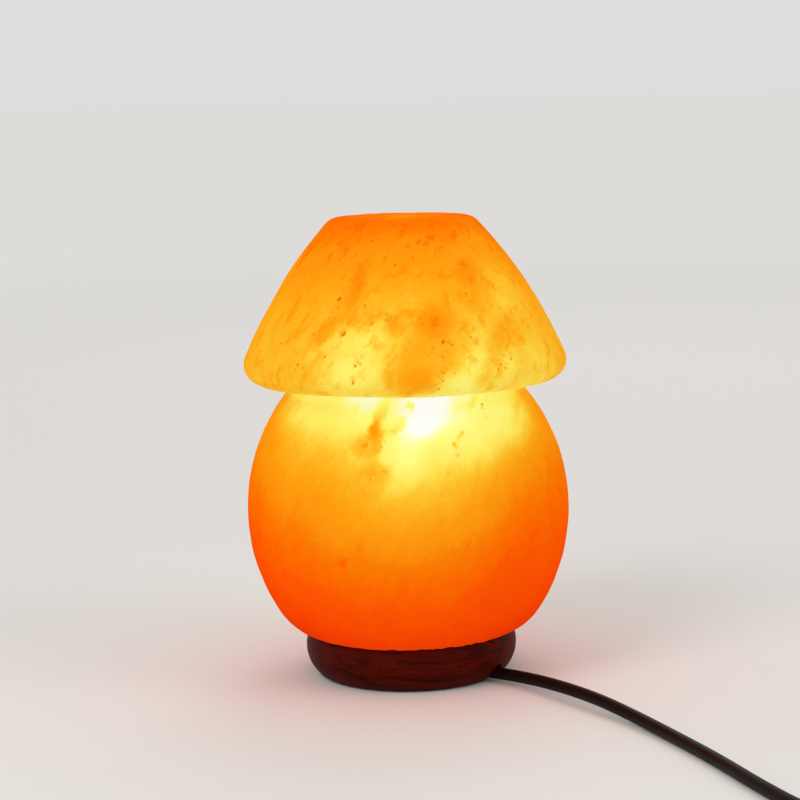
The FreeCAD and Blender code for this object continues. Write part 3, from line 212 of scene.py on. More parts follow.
@dataclass(frozen=True)
class RockSalt:
    """Rock salt, turned and wiped smooth: a cloudy crystal that glows from orange to near white.

    The colour follows how far the light has come from the bulb, as it does in the real stone, which
    takes out the blue first and then the green. Each depth is the salt, in millimetres, that a
    pattern seems to add. nearest and farthest are the depths at the two ends of the tones. A band
    is a pair of heights: across rim_band the ball's values give way to the shade's, and across the
    other two the veins and specks grow. Real grains are 0.2 to 1 mm wide, too fine to show, so they
    are drawn coarser.
    """

    nearest: float = 48.0
    farthest: float = 112.0
    glow: float = 0.62
    body: float = 0.42
    rim_band: Spot = (124.0, 134.0)
    vein_band: Spot = (112.0, 134.0)
    speck_band: Spot = (118.0, 134.0)
    # painted shade: extra depth at the left and right, as seen from the front, that deepens the glow
    # toward the block's outline
    ball_painted_sides: float = 14.0
    cone_painted_sides: float = 3.0
    painted_sides_fade: Spot = (52.0, 115.0)  # distances from the filament
    painted_sides_most: float = 1.8
    painted_sides_core: float = 60.0  # square millimetres round the axis where the painted shade at the sides fades to nothing
    ball_density: float = 4.0
    shade_density: float = 1.6
    cloud_size: float = 24.0
    cloud_stretch: Point = (1.0, 1.0, 1.5)
    cloud_depth: float = 5.0
    cloud_lean: float = 30.0
    mottle_size: float = 6.5
    mottle_stretch: Point = (1.0, 1.0, 1.6)
    mottle_depth: float = 6.0
    bed_lean: float = 32.0
    vein_size: float = 5.0
    vein_stretch: Point = (1.0, 1.0, 3.0)
    vein_depth: float = 4.0
    vein_span: Spot = (0.53, 0.66)  # values of its noise across which a vein sets in
    grain_size: float = 1.9
    grain_depth: float = 3.6
    patch_fray: Spot = (5.0, 6.0)  # size and reach
    speck_size: float = 2.6
    speck_stretch: Point = (1.0, 1.0, 1.7)
    speck_fray: Spot = (1.1, 1.3)  # size and reach
    speck_edge: Spot = (-0.03, 0.06)
    speck_width: Spot = (0.04, 0.16)  # as a share of a speck's cell, in the ball and above
    speck_in_seam: float = 0.3
    speck_tone: str = "E8A638"
    pit_span: Spot = (0.25, 0.8)
    pit_painted_shade: float = 0.55
    patch_reach: float = 1.6  # how far a patch fades out, in sizes
    patch_full: float = 0.95  # the fade's value from which a patch has its full depth
    skin_size: float = 1.6
    skin_relief: float = 0.12
    tones: tuple[tuple[float, str], ...] = (
        (48, "FFFFFF"),
        (53, "FFFFEC"),
        (60, "FFFC88"),
        (69, "FDEA62"),
        (73, "FDD748"),
        (76, "FCC430"),
        (80, "FDAE1C"),
        (84, "FD9D10"),
        (88, "FD910C"),
        (91, "FC7E05"),
        (95, "FF6D02"),
        (100, "FF5902"),
        (106, "FE4A03"),
        (112, "F03A04"),
    )
    patches: tuple[Patch, ...] = (
        # painted highlight: the white hot spot under the shade, laid on the front face only
        Patch((7.5, -55, 123), (9, 18, 10), 15, -17),
        Patch((-1, -61, 105), (8, 18, 15), 25, -8),
        Patch((-5, -53, 126), (9, 18, 4), 0, 3),
        Patch((-18, -48, 126), (12, 18, 5), 0, -3),
        Patch((29, -51, 116), (18, 22, 16), 0, -7),
        Patch((47, -37, 118), (11, 16, 14), 10, -8),
        Patch((-44, -28, 121), (12, 18, 12), 0, -6),
        Patch((-28, -62, 100), (22, 20, 16), 0, 4),
        Patch((-11.5, -55, 120), (2.4, 12, 7.5), 25, 13),
        Patch((-12, -57, 115), (4, 12, 4.4), 30, 12),
        Patch((-17, -58, 109.5), (6, 12, 5), 40, 9),
        Patch((-12, -59, 109), (2.2, 10, 3), 10, 7),
        Patch((-5, -58, 115.5), (2.4, 10, 2.6), 30, 10),
        Patch((-1.5, -57, 118.5), (3, 10, 1.9), -40, 10),
        Patch((1.5, -55, 124.5), (1.6, 10, 3.4), -10, 16),
        Patch((-12, -62, 99), (7, 10, 4.4), 20, 6),
        Patch((22, -57, 112), (1.1, 10, 2.0), 20, 12),
        Patch((19.5, -59, 109), (1.2, 10, 1.5), 35, 14),
        Patch((28, -43, 125), (1.8, 12, 4), 25, 10),
        Patch((46, -32, 118), (2.2, 12, 7), 10, 5),
        Patch((-27, -64, 62), (1.6, 8, 2.2), 20, 6),
        Patch((42, -48, 79), (22, 30, 34), 20, 5),
        Patch((27, -22, 192), (8, 24, 14), 15, -2),
        Patch((26, -41, 179), (5, 16, 5), 15, 7),
        Patch((31, -45, 170), (8, 16, 9), 0, 5),
        Patch((12, -58, 160), (7, 16, 7), 20, 7),
        Patch((9, -65, 149), (13, 18, 24), 20, 4),
        Patch((4, -69, 135), (8, 14, 7), 25, 5),
        Patch((-19, -47, 175), (3, 14, 11), 20, 8),
        Patch((-32, -53, 156), (11, 18, 3), -40, 7),
        Patch((-4, -61, 158), (3.6, 10, 4.4), 30, 6),
        Patch((41, -48, 153), (9, 18, 9), 0, 6),
        Patch((-18, -64, 146), (16, 22, 8), -25, -5),
        Patch((-21, -67, 139), (13, 20, 6), 0, -6),
        Patch((24, -63, 137), (7, 20, 10), 25, -3),
        Patch((19, -67, 135), (7, 18, 5), 0, -6),
        Patch((54, -42, 138), (12, 24, 12), 0, -4),
        Patch((41, -55, 141), (5, 16, 11), 15, -6),
        Patch((29, -62, 144), (4.5, 18, 14), 25, -6),
        Patch((-24, -58, 153), (20, 20, 7), -15, -5),
        Patch((40, -40, 175), (16, 26, 30), 0, -5),
    )

    def dress(self) -> Material:
        """Builds the glowing salt.

        Returns:
            The material.
        """
        salt = Finish("rock_salt_lit_from_inside")
        tree = salt.tree
        height = add_node(tree, "SeparateXYZ", {0: salt.place}).outputs[2]
        way = {0: salt.place, 1: FILAMENT}
        reach = add_node(tree, "VectorMath", way, operation="DISTANCE").outputs["Value"]
        cloud = salt.noise(self.cloud_size, 3.0, self.cloud_stretch, (0, self.cloud_lean, 0))
        mottle = salt.noise(self.mottle_size, 5.0, self.mottle_stretch, (0, self.bed_lean, 0), 0.62)
        parts = [
            reach,
            # painted shade at the left and right, and denser salt all through
            self._painted_side_shade(salt, reach),
            self._scaled(tree, cloud, self.cloud_depth),
            self._scaled(tree, mottle, self.mottle_depth),
            self._veins(salt, height),
            self._scaled(tree, salt.noise(self.grain_size, 4.0), self.grain_depth),
        ]
        size, sway = self.patch_fray
        wobble = {0: salt.noise(size, 4.0).outputs["Color"], 1: NOISE_MIDDLE}
        centred = add_node(tree, "VectorMath", wobble, operation="SUBTRACT").outputs[0]
        shifted = {0: centred, 1: (sway,) * 3, 2: salt.place}
        frayed = add_node(tree, "VectorMath", shifted, operation="MULTIPLY_ADD").outputs[0]
        parts += [self._cloud(tree, frayed, patch) for patch in self.patches]
        depth = parts[0]
        for part in parts[1:]:
            depth = add_node(tree, "Math", {0: depth, 1: part}, operation="ADD").outputs[0]
        share = add_node(tree, "MapRange", {0: depth, 1: self.nearest, 2: self.farthest})
        ramp = add_node(tree, "ValToRGB", {0: share.outputs[0]})
        span = self.farthest - self.nearest
        set_ramp(ramp, [((stop - self.nearest) / span, code) for stop, code in self.tones])
        mix = {0: self._specks(salt, height), 6: ramp.outputs[0], 7: linear(self.speck_tone)}
        colour = add_node(tree, "Mix", mix, data_type="RGBA", blend_type="MULTIPLY").outputs[2]
        body = add_node(tree, "VectorMath", {0: colour, "Scale": self.body}, operation="SCALE")
        salt.put(
            Base_Color=body.outputs[0],
            Emission_Color=colour,
            Emission_Strength=self.glow,
            Roughness=0.6,
            IOR=1.54,
            Specular_IOR_Level=0.0,
        )
        salt.bump(salt.noise(self.skin_size, 4.0).outputs[0], self.skin_relief)
        return salt.material

    def _scaled(self, tree: NodeTree, pattern: Node, depth: float) -> NodeSocket:
        """A pattern turned into a depth of salt, half of it more and half of it less."""
        feeds = {0: pattern.outputs[0], 1: depth, 2: -depth / 2}
        return add_node(tree, "Math", feeds, operation="MULTIPLY_ADD").outputs[0]

    def _veins(self, salt: Finish, height: NodeSocket) -> NodeSocket:
        """Leaning veins of denser salt, strongest above the rim.

        Args:
            salt: the material.
            height: each place's height.

        Returns:
            The depth that they add.
        """
        vein = salt.noise(self.vein_size, 4.0, self.vein_stretch, (0, self.bed_lean, 0), 0.6)
        low, high = self.vein_band
        rising = {0: height, 1: low, 2: high, 3: 1.0, 4: self.vein_depth}
        most = add_node(salt.tree, "MapRange", rising).outputs[0]
        low, high = self.vein_span
        streak = {0: vein.outputs[0], 1: low, 2: high, 3: 0.0, 4: most}
        return add_node(salt.tree, "MapRange", streak, interpolation_type="SMOOTHSTEP").outputs[0]

    def _specks(self, salt: Finish, height: NodeSocket) -> NodeSocket:
        """Specks of clay, closer along the seams, and painted shade in the pits.

        Args:
            salt: the material.
            height: each place's height.

        Returns:
            How much each place is darkened, from 0 to 1.
        """
        tree = salt.tree
        marks = [add_node(tree, "Attribute", attribute_name=name) for name in ("seam", "pit")]
        seam, pit = (mark.outputs["Fac"] for mark in marks)
        size, reach = self.speck_fray
        shifted = {0: salt.noise(size, 2.0).outputs["Color"], 1: (reach,) * 3, 2: salt.place}
        frayed = add_node(tree, "VectorMath", shifted, operation="MULTIPLY_ADD").outputs[0]
        lean = Euler((0, math.radians(self.cloud_lean), 0))
        laid = {0: frayed, "Rotation": lean, "Scale": self.speck_stretch}
        place = add_node(tree, "Mapping", laid, vector_type="TEXTURE").outputs[0]
        cells = add_node(tree, "TexVoronoi", {"Vector": place, "Scale": 1 / self.speck_size})
        (low, high), (least, most) = self.speck_band, self.speck_width
        few = add_node(tree, "MapRange", {0: height, 1: low, 2: high, 3: least, 4: most}).outputs[0]
        crowd = {0: seam, 1: self.speck_in_seam, 2: few}
        wide = add_node(tree, "Math", crowd, operation="MULTIPLY_ADD").outputs[0]
        chance = add_node(tree, "SeparateXYZ", {0: cells.outputs["Color"]}).outputs[0]
        wide = add_node(tree, "Math", {0: wide, 1: chance}, operation="MULTIPLY").outputs[0]
        inside = {0: wide, 1: cells.outputs["Distance"]}
        inside = add_node(tree, "Math", inside, operation="SUBTRACT").outputs[0]
        low, high = self.speck_edge
        speck = add_node(tree, "MapRange", {0: inside, 1: low, 2: high}).outputs[0]
        low, high = self.pit_span
        pit_shading = {0: pit, 1: low, 2: high, 3: 0.0, 4: self.pit_painted_shade}
        sunk = add_node(tree, "MapRange", pit_shading).outputs[0]
        return add_node(tree, "Math", {0: speck, 1: sunk}, operation="MAXIMUM").outputs[0]

    def _painted_side_shade(self, salt: Finish, reach: NodeSocket) -> NodeSocket:
        """Painted shade at the block's left and right as seen from the front, most near the bulb,
        and denser salt all through.

        Args:
            salt: the material.
            reach: how far each place is from the filament.

        Returns:
            The depth that it adds.
        """
        tree = salt.tree
        x, y, z = add_node(tree, "SeparateXYZ", {0: salt.place}).outputs
        across = add_node(tree, "Math", {0: x, 1: x}, operation="MULTIPLY").outputs[0]
        whole = add_node(tree, "Math", {0: y, 1: y, 2: across}, operation="MULTIPLY_ADD").outputs[0]
        whole = add_node(tree, "Math", {0: whole, 1: self.painted_sides_core}, operation="ADD").outputs[0]
        share = add_node(tree, "Math", {0: across, 1: whole}, operation="DIVIDE").outputs[0]
        low, high = self.painted_sides_fade
        fading = {0: reach, 1: low, 2: high, 3: self.painted_sides_most, 4: 0.0}
        near = add_node(tree, "MapRange", fading).outputs[0]
        amount = add_node(tree, "Math", {0: share, 1: near}, operation="MULTIPLY").outputs[0]
        low, high = self.rim_band
        painted_sides_depth, dense = (
            add_node(tree, "MapRange", {0: z, 1: low, 2: high, 3: below, 4: above}).outputs[0]
            for below, above in (
                (self.ball_painted_sides, self.cone_painted_sides),
                (self.ball_density, self.shade_density),
            )
        )
        added = {0: amount, 1: painted_sides_depth, 2: dense}
        return add_node(tree, "Math", added, operation="MULTIPLY_ADD").outputs[0]

    def _cloud(self, tree: NodeTree, place: NodeSocket, patch: Patch) -> NodeSocket:
        """One patch, fading out from its middle.

        Args:
            tree: the material's node tree.
            place: each place on the piece.
            patch: the patch.

        Returns:
            The depth that it adds.
        """
        laid = {
            0: place,
            "Location": patch.middle,
            "Rotation": Euler((0, math.radians(patch.lean), 0)),
            "Scale": tuple(self.patch_reach * s for s in patch.size),
        }
        spot = add_node(tree, "Mapping", laid, vector_type="TEXTURE").outputs[0]
        ball = add_node(tree, "TexGradient", {0: spot}, gradient_type="SPHERICAL")
        fade = {0: ball.outputs["Fac"], 1: 0.0, 2: self.patch_full, 3: 0.0, 4: patch.depth}
        return add_node(tree, "MapRange", fade, interpolation_type="SMOOTHSTEP").outputs[0]


@dataclass(frozen=True)
class StainedWood:
    """Acacia-like wood, turned, stained dark red-brown and lacquered: fine level grain, low sheen.

    Real pores are about 0.1 mm wide, too fine to show, so they are drawn coarser. tone_stops are
    the values of the grain at which it is dark, middling, light and dark again. The wood goes from
    the first to the second roughness as the grain goes through rough_span.
    """

    dark: str = "260400"
    middle: str = "3E0800"
    light: str = "560D01"
    tone_stops: tuple[float, ...] = (0.42, 0.62, 0.78, 0.92)
    streak: float = 2.2
    streak_stretch: Point = (26.0, 3.0, 1.0)
    pore: float = 0.5
    pore_stretch: Point = (16.0, 1.4, 1.0)
    pore_share: float = 0.35
    grain_lean: Point = (0, 4, 8)
    rough_span: Spot = (0.4, 0.9)
    roughness: Spot = (0.4, 0.6)
    shine: float = 0.04
    relief: float = 0.12

    def dress(self) -> Material:
        """Builds the stained wood.

        Returns:
            The material.
        """
        wood = Finish("stained_wood")
        tree = wood.tree
        board = wood.noise(self.streak, 4.0, self.streak_stretch, self.grain_lean).outputs[0]
        pores = wood.noise(self.pore, 2.0, self.pore_stretch, self.grain_lean).outputs[0]
        feeds = {0: pores, 1: self.pore_share, 2: board}
        both = add_node(tree, "Math", feeds, operation="MULTIPLY_ADD").outputs[0]
        ramp = add_node(tree, "ValToRGB", {0: both})
        tones = (self.dark, self.middle, self.light, self.dark)
        set_ramp(ramp, list(zip(self.tone_stops, tones)))
        (low, high), (least, most) = self.rough_span, self.roughness
        worn = {0: both, 1: low, 2: high, 3: least, 4: most}
        rough = add_node(tree, "MapRange", worn).outputs[0]
        wood.put(Base_Color=ramp.outputs[0], Roughness=rough, Specular_IOR_Level=self.shine)
        wood.bump(both, self.relief)
        return wood.material


@dataclass(frozen=True)
class Moulding:
    """Plastic or rubber, moulded or extruded; as it stands, the cord's soft PVC.

    That PVC is near black with a brown cast, smooth, with a broad dull shine. texture is the width
    of the surface's grain. Real grain is 0.05 to 0.2 mm wide, too fine to show, so it is drawn
    coarser. Over places of smudge_size, the roughness changes by rough_change.
    """

    name: str = "black_pvc"
    tone: str = "0B0504"
    worn: str = "150A07"
    roughness: float = 0.42
    texture: float = 1.8
    relief: float = 0.02
    shine: float = 0.1
    smudge_size: float = 18.0
    rough_change: Spot = (-0.06, 0.1)

    def dress(self) -> Material:
        """Builds the moulding.

        Returns:
            The material.
        """
        cover = Finish(self.name)
        pattern = cover.noise(self.texture, 3.0).outputs[0]
        broad = cover.noise(self.smudge_size, 2.0).outputs[0]
        low, high = (self.roughness + change for change in self.rough_change)
        worn = {0: broad, 1: NOISE_LOW, 2: NOISE_HIGH, 3: low, 4: high}
        rough = add_node(cover.tree, "MapRange", worn).outputs[0]
        colour = cover.mottled(broad, self.tone, self.worn)
        cover.put(Base_Color=colour, Roughness=rough, Specular_IOR_Level=self.shine)
        cover.bump(pattern, self.relief)
        return cover.material


@dataclass(frozen=True)
class BareMetal:
    """Metal left bare, plated or rolled: a tone, faint drawn lines and smudges in its shine.

    Real lines are about 0.05 mm wide, too fine to show, so they are drawn coarser.
    """

    name: str
    tone: str
    smudge: str
    roughness: float = 0.28
    line: float = 0.4
    relief: float = 0.01
    line_stretch: Point = (1.0, 1.0, 14.0)
    smudge_size: float = 5.0
    rough_factors: Spot = (0.8, 1.3)

    def dress(self) -> Material:
        """Builds the metal.

        Returns:
            The material.
        """
        metal = Finish(self.name)
        lines = metal.noise(self.line, 2.0, self.line_stretch).outputs[0]
        broad = metal.noise(self.smudge_size, 3.0).outputs[0]
        low, high = (self.roughness * factor for factor in self.rough_factors)
        drawn = {0: lines, 1: NOISE_LOW, 2: NOISE_HIGH, 3: low, 4: high}
        rough = add_node(metal.tree, "MapRange", drawn).outputs[0]
        colour = metal.mottled(broad, self.smudge, self.tone)
        metal.put(Base_Color=colour, Metallic=1.0, Roughness=rough)
        metal.bump(lines, self.relief)
        return metal.material


@dataclass(frozen=True)
class BulbGlass:
    """Clear blown glass, thin enough to show the filament and a shine on its dome."""

    name: str = "clear_glass"
    tone: str = "FFF6E6"
    smudge_size: float = 14.0
    roughness: Spot = (0.01, 0.05)
    bending: float = 1.46  # index of refraction

    def dress(self) -> Material:
        """Builds the glass.

        Returns:
            The material.
        """
        glass = Finish(self.name)
        faint = glass.noise(self.smudge_size, 2.0).outputs[0]
        least, most = self.roughness
        rough = add_node(glass.tree, "MapRange", {0: faint, 3: least, 4: most}).outputs[0]
        tone = linear(self.tone)
        glass.put(Base_Color=tone, Transmission_Weight=1.0, IOR=self.bending, Roughness=rough)
        return glass.material


@dataclass(frozen=True)
class HotWire:
    """Tungsten wire at work: a steady warm white glow."""

    name: str = "hot_tungsten"
    tone: str = "6B6357"
    cooler: str = "FFC876"
    hotter: str = "FFE9BE"
    glow: float = 6.0
    patch_size: float = 2.0

    def dress(self) -> Material:
        """Builds the glowing wire.

        Returns:
            The material.
        """
        wire = Finish(self.name)
        heat = wire.noise(self.patch_size, 2.0).outputs[0]
        light = wire.mottled(heat, self.cooler, self.hotter)
        tone = linear(self.tone)
        wire.put(Base_Color=tone, Emission_Color=light, Emission_Strength=self.glow, Roughness=0.5)
        return wire.material


# ---- workbench


def start_clean() -> None:
    """Leaves edit mode and selects nothing."""
    if bpy.context.object and bpy.context.object.mode != "OBJECT":
        bpy.ops.object.mode_set(mode="OBJECT")
    bpy.ops.object.select_all(action="DESELECT")


def only(piece: Object) -> None:
    """Makes a piece the one that is selected and active.

    Args:
        piece: the piece.
    """
    start_clean()
    piece.select_set(True)
    bpy.context.view_layer.objects.active = piece


def draw_line(name: str, points: Sequence[Point]) -> Object:
    """Draws a line, one extrusion after another, and stays in edit mode with all selected.

    Args:
        name: the new piece's name.
        points: the line's corners, in millimetres.

    Returns:
        The new piece.
    """
    start_clean()
    here = Vector(points[0]) * MM
    bpy.ops.mesh.primitive_plane_add(size=0.01, location=here)
    piece = bpy.context.object
    piece.name = piece.data.name = name
    bpy.ops.object.mode_set(mode="EDIT")
    bpy.ops.mesh.merge(type="CENTER")
    for point in points[1:]:
        there = Vector(point) * MM
        bpy.ops.mesh.extrude_vertices_move(TRANSFORM_OT_translate={"value": there - here})
        here = there
    bpy.ops.mesh.select_all(action="SELECT")
    return piece


def settle(piece: Object) -> Object:
    """Merges doubles, turns faces outwards, and puts the object at the origin with soft shading.

    Args:
        piece: a piece that was just modelled.

    Returns:
        The same piece.
    """
    only(piece)
    bpy.ops.object.mode_set(mode="EDIT")
    bpy.ops.mesh.select_all(action="SELECT")
    bpy.ops.mesh.remove_doubles(threshold=SAME_SPOT)
    bpy.ops.mesh.normals_make_consistent(inside=False)
    bpy.ops.object.mode_set(mode="OBJECT")
    bpy.ops.object.transform_apply(location=True, rotation=True, scale=True)
    bpy.ops.object.shade_smooth_by_angle(angle=SMOOTH)
    return piece


def turn(name: str, outline: Outline, steps: int) -> Object:
    """Turns an outline once round the lamp's axis, as on a lathe.

    Args:
        name: the new piece's name.
        outline: radius and height of each corner, in millimetres.
        steps: how many faces it has round the axis.

    Returns:
        The new piece, at the origin.
    """
    piece = draw_line(name, [(r, 0.0, z) for r, z in outline])
    bpy.ops.mesh.spin(steps=steps, angle=math.tau, center=(0, 0, 0), axis=(0, 0, 1))
    return settle(piece)


def apply_all(piece: Object) -> None:
    """Applies every modifier of a piece, in order.

    Args:
        piece: the piece.
    """
    only(piece)
    for modifier in list(piece.modifiers):
        bpy.ops.object.modifier_apply(modifier=modifier.name)


def dress(piece: Object, material: Material) -> None:
    """Gives a piece one material all over."""
    piece.data.materials.clear()
    piece.data.materials.append(material)


def arc(middle: Spot, radius: float, start: float, end: float, step: float) -> Outline:
    """Points along a round stretch of an outline.

    Args:
        middle: its centre.
        radius: its radius.
        start: the angle where it starts, in radians.
        end: the angle where it ends.
        step: the most that two points are apart.

    Returns:
        The points, both ends included.
    """
    count = max(2, math.ceil(abs(end - start) * radius / step))
    angles = [start + (end - start) * i / count for i in range(count + 1)]
    return [(middle[0] + radius * math.cos(a), middle[1] + radius * math.sin(a)) for a in angles]


def straight(start: Spot, end: Spot, step: float) -> Outline:
    """Points along a straight stretch of an outline.

    Args:
        start: where it starts.
        end: where it ends.
        step: the most that two points are apart.

    Returns:
        The points, without the first.
    """
    (x, z), (to_x, to_z) = start, end
    count = max(1, math.ceil(math.dist(start, end) / step))
    return [(x + (to_x - x) * i / count, z + (to_z - z) * i / count) for i in range(1, count + 1)]


def angle_of(middle: Spot, point: Spot) -> float:
    """The angle at which a point lies from a middle."""
    return math.atan2(point[1] - middle[1], point[0] - middle[0])


def reach_at(middle: Spot, radius: float, height: float) -> float:
    """How far out a circle reaches at a height."""
    return middle[0] + math.sqrt(max(radius**2 - (height - middle[1]) ** 2, 0.0))


def meeting(one: Spot, from_one: float, other: Spot, from_other: float) -> Spot:
    """The point at a distance from each of two points, on the left of the way between them.

    Args:
        one: the first point.
        from_one: the distance from it.
        other: the second point.
        from_other: the distance from that one.

    Returns:
        The point.
    """
    gap = math.dist(one, other)
    along = (from_one**2 - from_other**2 + gap**2) / (2 * gap)
    off = math.sqrt(from_one**2 - along**2)
    ux, uz = (other[0] - one[0]) / gap, (other[1] - one[1]) / gap
    return one[0] + ux * along - uz * off, one[1] + uz * along + ux * off


def share_of(value: float, start: float, span: float) -> float:
    """How far a value has come through a span, from 0 to 1."""
    return min(max((value - start) / span, 0.0), 1.0)


# ---- salt block


@dataclass(frozen=True)
class PitTrail:
    """A row of small pits where a seam of clay or trapped brine met the surface.

    azimuth and height place its middle, reach is its length, lean its slope from upright and width
    its spread.
    """

    azimuth: float
    height: float
    reach: float
    lean: float
    width: float
    count: int
    size: float = 0.9


@dataclass
class SaltBlock:
    """The turned block of salt with its blind bore, its worn skin and its pits.

    A name that ends in step is the most that two points of the outline are apart there. seat_flat
    holds places just inside the seat's edge, each with its step. wear holds the size and the height
    of each layer of unevenness that hand work leaves. A pit's bowl is pit_spread times as wide as
    its size.
    """

    base_top: float = 19.4
    seat_radius: float = 45.0
    seat_flat: tuple[Spot, ...] = ((2.4, 3.0), (0.5, 0.8))
    foot_arc: float = 25.4
    foot_start: float = 0.02  # radians from the seat's edge to the next point
    ball_radius: float = 70.2
    ball_middle: float = 73.2
    ball_arc: float = 81.6
    neck_round: float = 2.5
    rim_height: float = 129.5
    rim_radius: float = 70.0
    rim_round: float = 8.0
    shade_arc: float = 210.2
    crown_radius: float = 30.8
    crown_height: float = 200.0
    crown_round: float = 8.0
    bore_radius: float = 24.0
    bore_top: float = 150.0
    bore_bevel: float = 6.0
    mouth_bevel: float = 0.6
    skin_step: float = 1.15
    round_step: float = 0.9
    neck_step: float = 0.6
    flat_step: float = 1.6
    bore_step: float = 6.0
    steps: int = 300
    wear: tuple[Spot, ...] = ((26.0, 0.7), (6.0, 0.22))
    pit_depth: float = 0.7
    pit_least: float = 0.01  # a pit ends where it is shallower
    pit_spread: float = 1.7
    pit_most: float = 1.6
    pit_sizes: Spot = (0.75, 1.6)
    pit_strengths: Spot = (0.5, 1.0)
    chips: int = 64
    chip_sizes: Spot = (0.8, 1.7)
    chip_strength: float = 0.7
    chip_spread: float = 1.0  # how far out of the seat's edge they lie
    seat_margin: float = 0.3  # the edge of the seat, which isn't worn
    bore_margin: float = 0.8
    pale_band: float = 4.0  # the chips this near the base get no painted shade
    seam_spread: Spot = (0.62, 0.9)
    seam_fade: float = 1.6
    seed: int = 11
    trails: tuple[PitTrail, ...] = (
        PitTrail(-104, 146, 18, 25, 5, 9),
        PitTrail(-108, 139, 12, 30, 4, 6),
        PitTrail(-112, 158, 20, 30, 3, 8),
        PitTrail(-76, 147, 22, 18, 4, 10, 0.8),
        PitTrail(-64, 150, 16, 15, 3, 7),
        PitTrail(-96, 160, 12, 30, 3, 4),
        PitTrail(-50, 146, 16, 12, 3, 5),
        PitTrail(-118, 170, 14, 30, 3, 4),
        PitTrail(-100, 112, 18, 35, 5, 7, 0.8),
        PitTrail(-69, 109, 10, 30, 3, 4, 1.0),
        PitTrail(-55, 121, 8, 20, 2, 2, 0.7),
        PitTrail(-101, 98, 10, 20, 4, 4, 0.8),
        PitTrail(20, 150, 26, 20, 6, 12),
        PitTrail(60, 158, 24, -20, 5, 10),
        PitTrail(105, 146, 26, 25, 6, 12),
        PitTrail(150, 154, 22, 20, 5, 10),
        PitTrail(190, 148, 20, 25, 5, 8),
        PitTrail(40, 104, 24, 25, 5, 8),
        PitTrail(120, 96, 26, 30, 6, 9),
        PitTrail(175, 88, 20, 25, 5, 7),
        PitTrail(-20, 84, 18, 20, 5, 6),
    )

    def _touch_points(self) -> dict[str, Spot]:
        """Works out where the arcs of the outline meet.

        Returns:
            The middle of each arc and the edge of the seat.
        """
        ball = (self.ball_radius - self.ball_arc, self.ball_middle)
        seat = (self.seat_radius, self.base_top)
        foot = meeting(ball, self.ball_arc - self.foot_arc, seat, self.foot_arc)
        lip = (self.rim_radius - self.rim_round, self.rim_height + self.rim_round)
        edge = (self.crown_radius, self.crown_height)
        side = meeting(lip, self.shade_arc - self.rim_round, edge, self.shade_arc)
        top = self.crown_height - self.crown_round
        crown = (reach_at(side, self.shade_arc - self.crown_round, top), top)
        under = self.rim_height - self.neck_round
        neck = (reach_at(ball, self.ball_arc + self.neck_round, under), under)
        return dict(ball=ball, seat=seat, foot=foot, lip=lip, side=side, crown=crown, neck=neck)

    def outline(self) -> Outline:
        """Draws the outline from the top of the bore, round the seat and the outside, to the crown.

        Returns:
            Its points.
        """
        at = self._touch_points()
        ball, foot, lip, side, crown, neck = (
            at[k] for k in ("ball", "foot", "lip", "side", "crown", "neck")
        )
        bore, low, bevel = self.bore_radius, self.base_top, self.mouth_bevel
        corners = [
            ((bore - self.bore_bevel, self.bore_top), self.bore_step),
            ((bore, self.bore_top - self.bore_bevel), self.bore_step),
            ((bore, low + bevel), self.bore_step),
            ((bore + bevel, low), self.bore_step),
            *(((self.seat_radius - before, low), step) for before, step in self.seat_flat),
        ]
        line = [(0.0, self.bore_top)]
        for corner, step in corners:
            line += straight(line[-1], corner, step)
        first = angle_of(foot, at["seat"]) + self.foot_start
        foot_end, neck_turn = angle_of(ball, foot), angle_of(ball, neck)
        lip_end, crown_turn = angle_of(side, lip), angle_of(side, crown)
        line += arc(foot, self.foot_arc, first, foot_end, self.skin_step)
        line += arc(ball, self.ball_arc, foot_end, neck_turn, self.skin_step)[1:]
        inner = neck_turn - math.pi
        line += arc(neck, self.neck_round, inner, -1.5 * math.pi, self.neck_step)[1:]
        line += straight(line[-1], (lip[0], self.rim_height), self.flat_step)
        line += arc(lip, self.rim_round, -math.pi / 2, lip_end, self.round_step)[1:]
        line += arc(side, self.shade_arc, lip_end, crown_turn, self.skin_step)[1:]
        line += arc(crown, self.crown_round, crown_turn, math.pi / 2, self.round_step)[1:]
        line += straight(line[-1], (0.0, self.crown_height), self.flat_step)
        return line

    def _skin_radius(self, height: float) -> float:
        """The block's outer radius at a height.

        Args:
            height: the height.

        Returns:
            The radius.
        """
        at = self._touch_points()
        if height < self.rim_height:
            return reach_at(at["ball"], self.ball_arc, height)
        return reach_at(at["side"], self.shade_arc, height)

    def _pits(self) -> list[tuple[Vector, float, float]]:
        """Lays out the pits, and the chips at the edge of the seat, the same on every run.

        Returns:
            The place, the size and the strength of each.
        """
        chance = random.Random(self.seed)
        pits = []
        for trail in self.trails:
            for _ in range(trail.count):
                along = chance.uniform(-0.5, 0.5) * trail.reach
                across = chance.gauss(0.0, trail.width / 2)
                lean = math.radians(trail.lean)
                height = trail.height + along * math.cos(lean) - across * math.sin(lean)
                radius = self._skin_radius(height)
                swing = (along * math.sin(lean) + across * math.cos(lean)) / radius
                azimuth = math.radians(trail.azimuth) + swing
                spot = Vector((radius * math.cos(azimuth), radius * math.sin(azimuth), height))
                size = trail.size * chance.uniform(*self.pit_sizes)
                pits.append((spot, size, chance.uniform(*self.pit_strengths)))
        height = self.base_top + self.seat_margin
        for _ in range(self.chips):
            azimuth = chance.uniform(0, math.tau)
            radius = self.seat_radius + chance.uniform(0.0, self.chip_spread)
            spot = Vector((radius * math.cos(azimuth), radius * math.sin(azimuth), height))
            pits.append((spot, chance.uniform(*self.chip_sizes), self.chip_strength))
        return pits

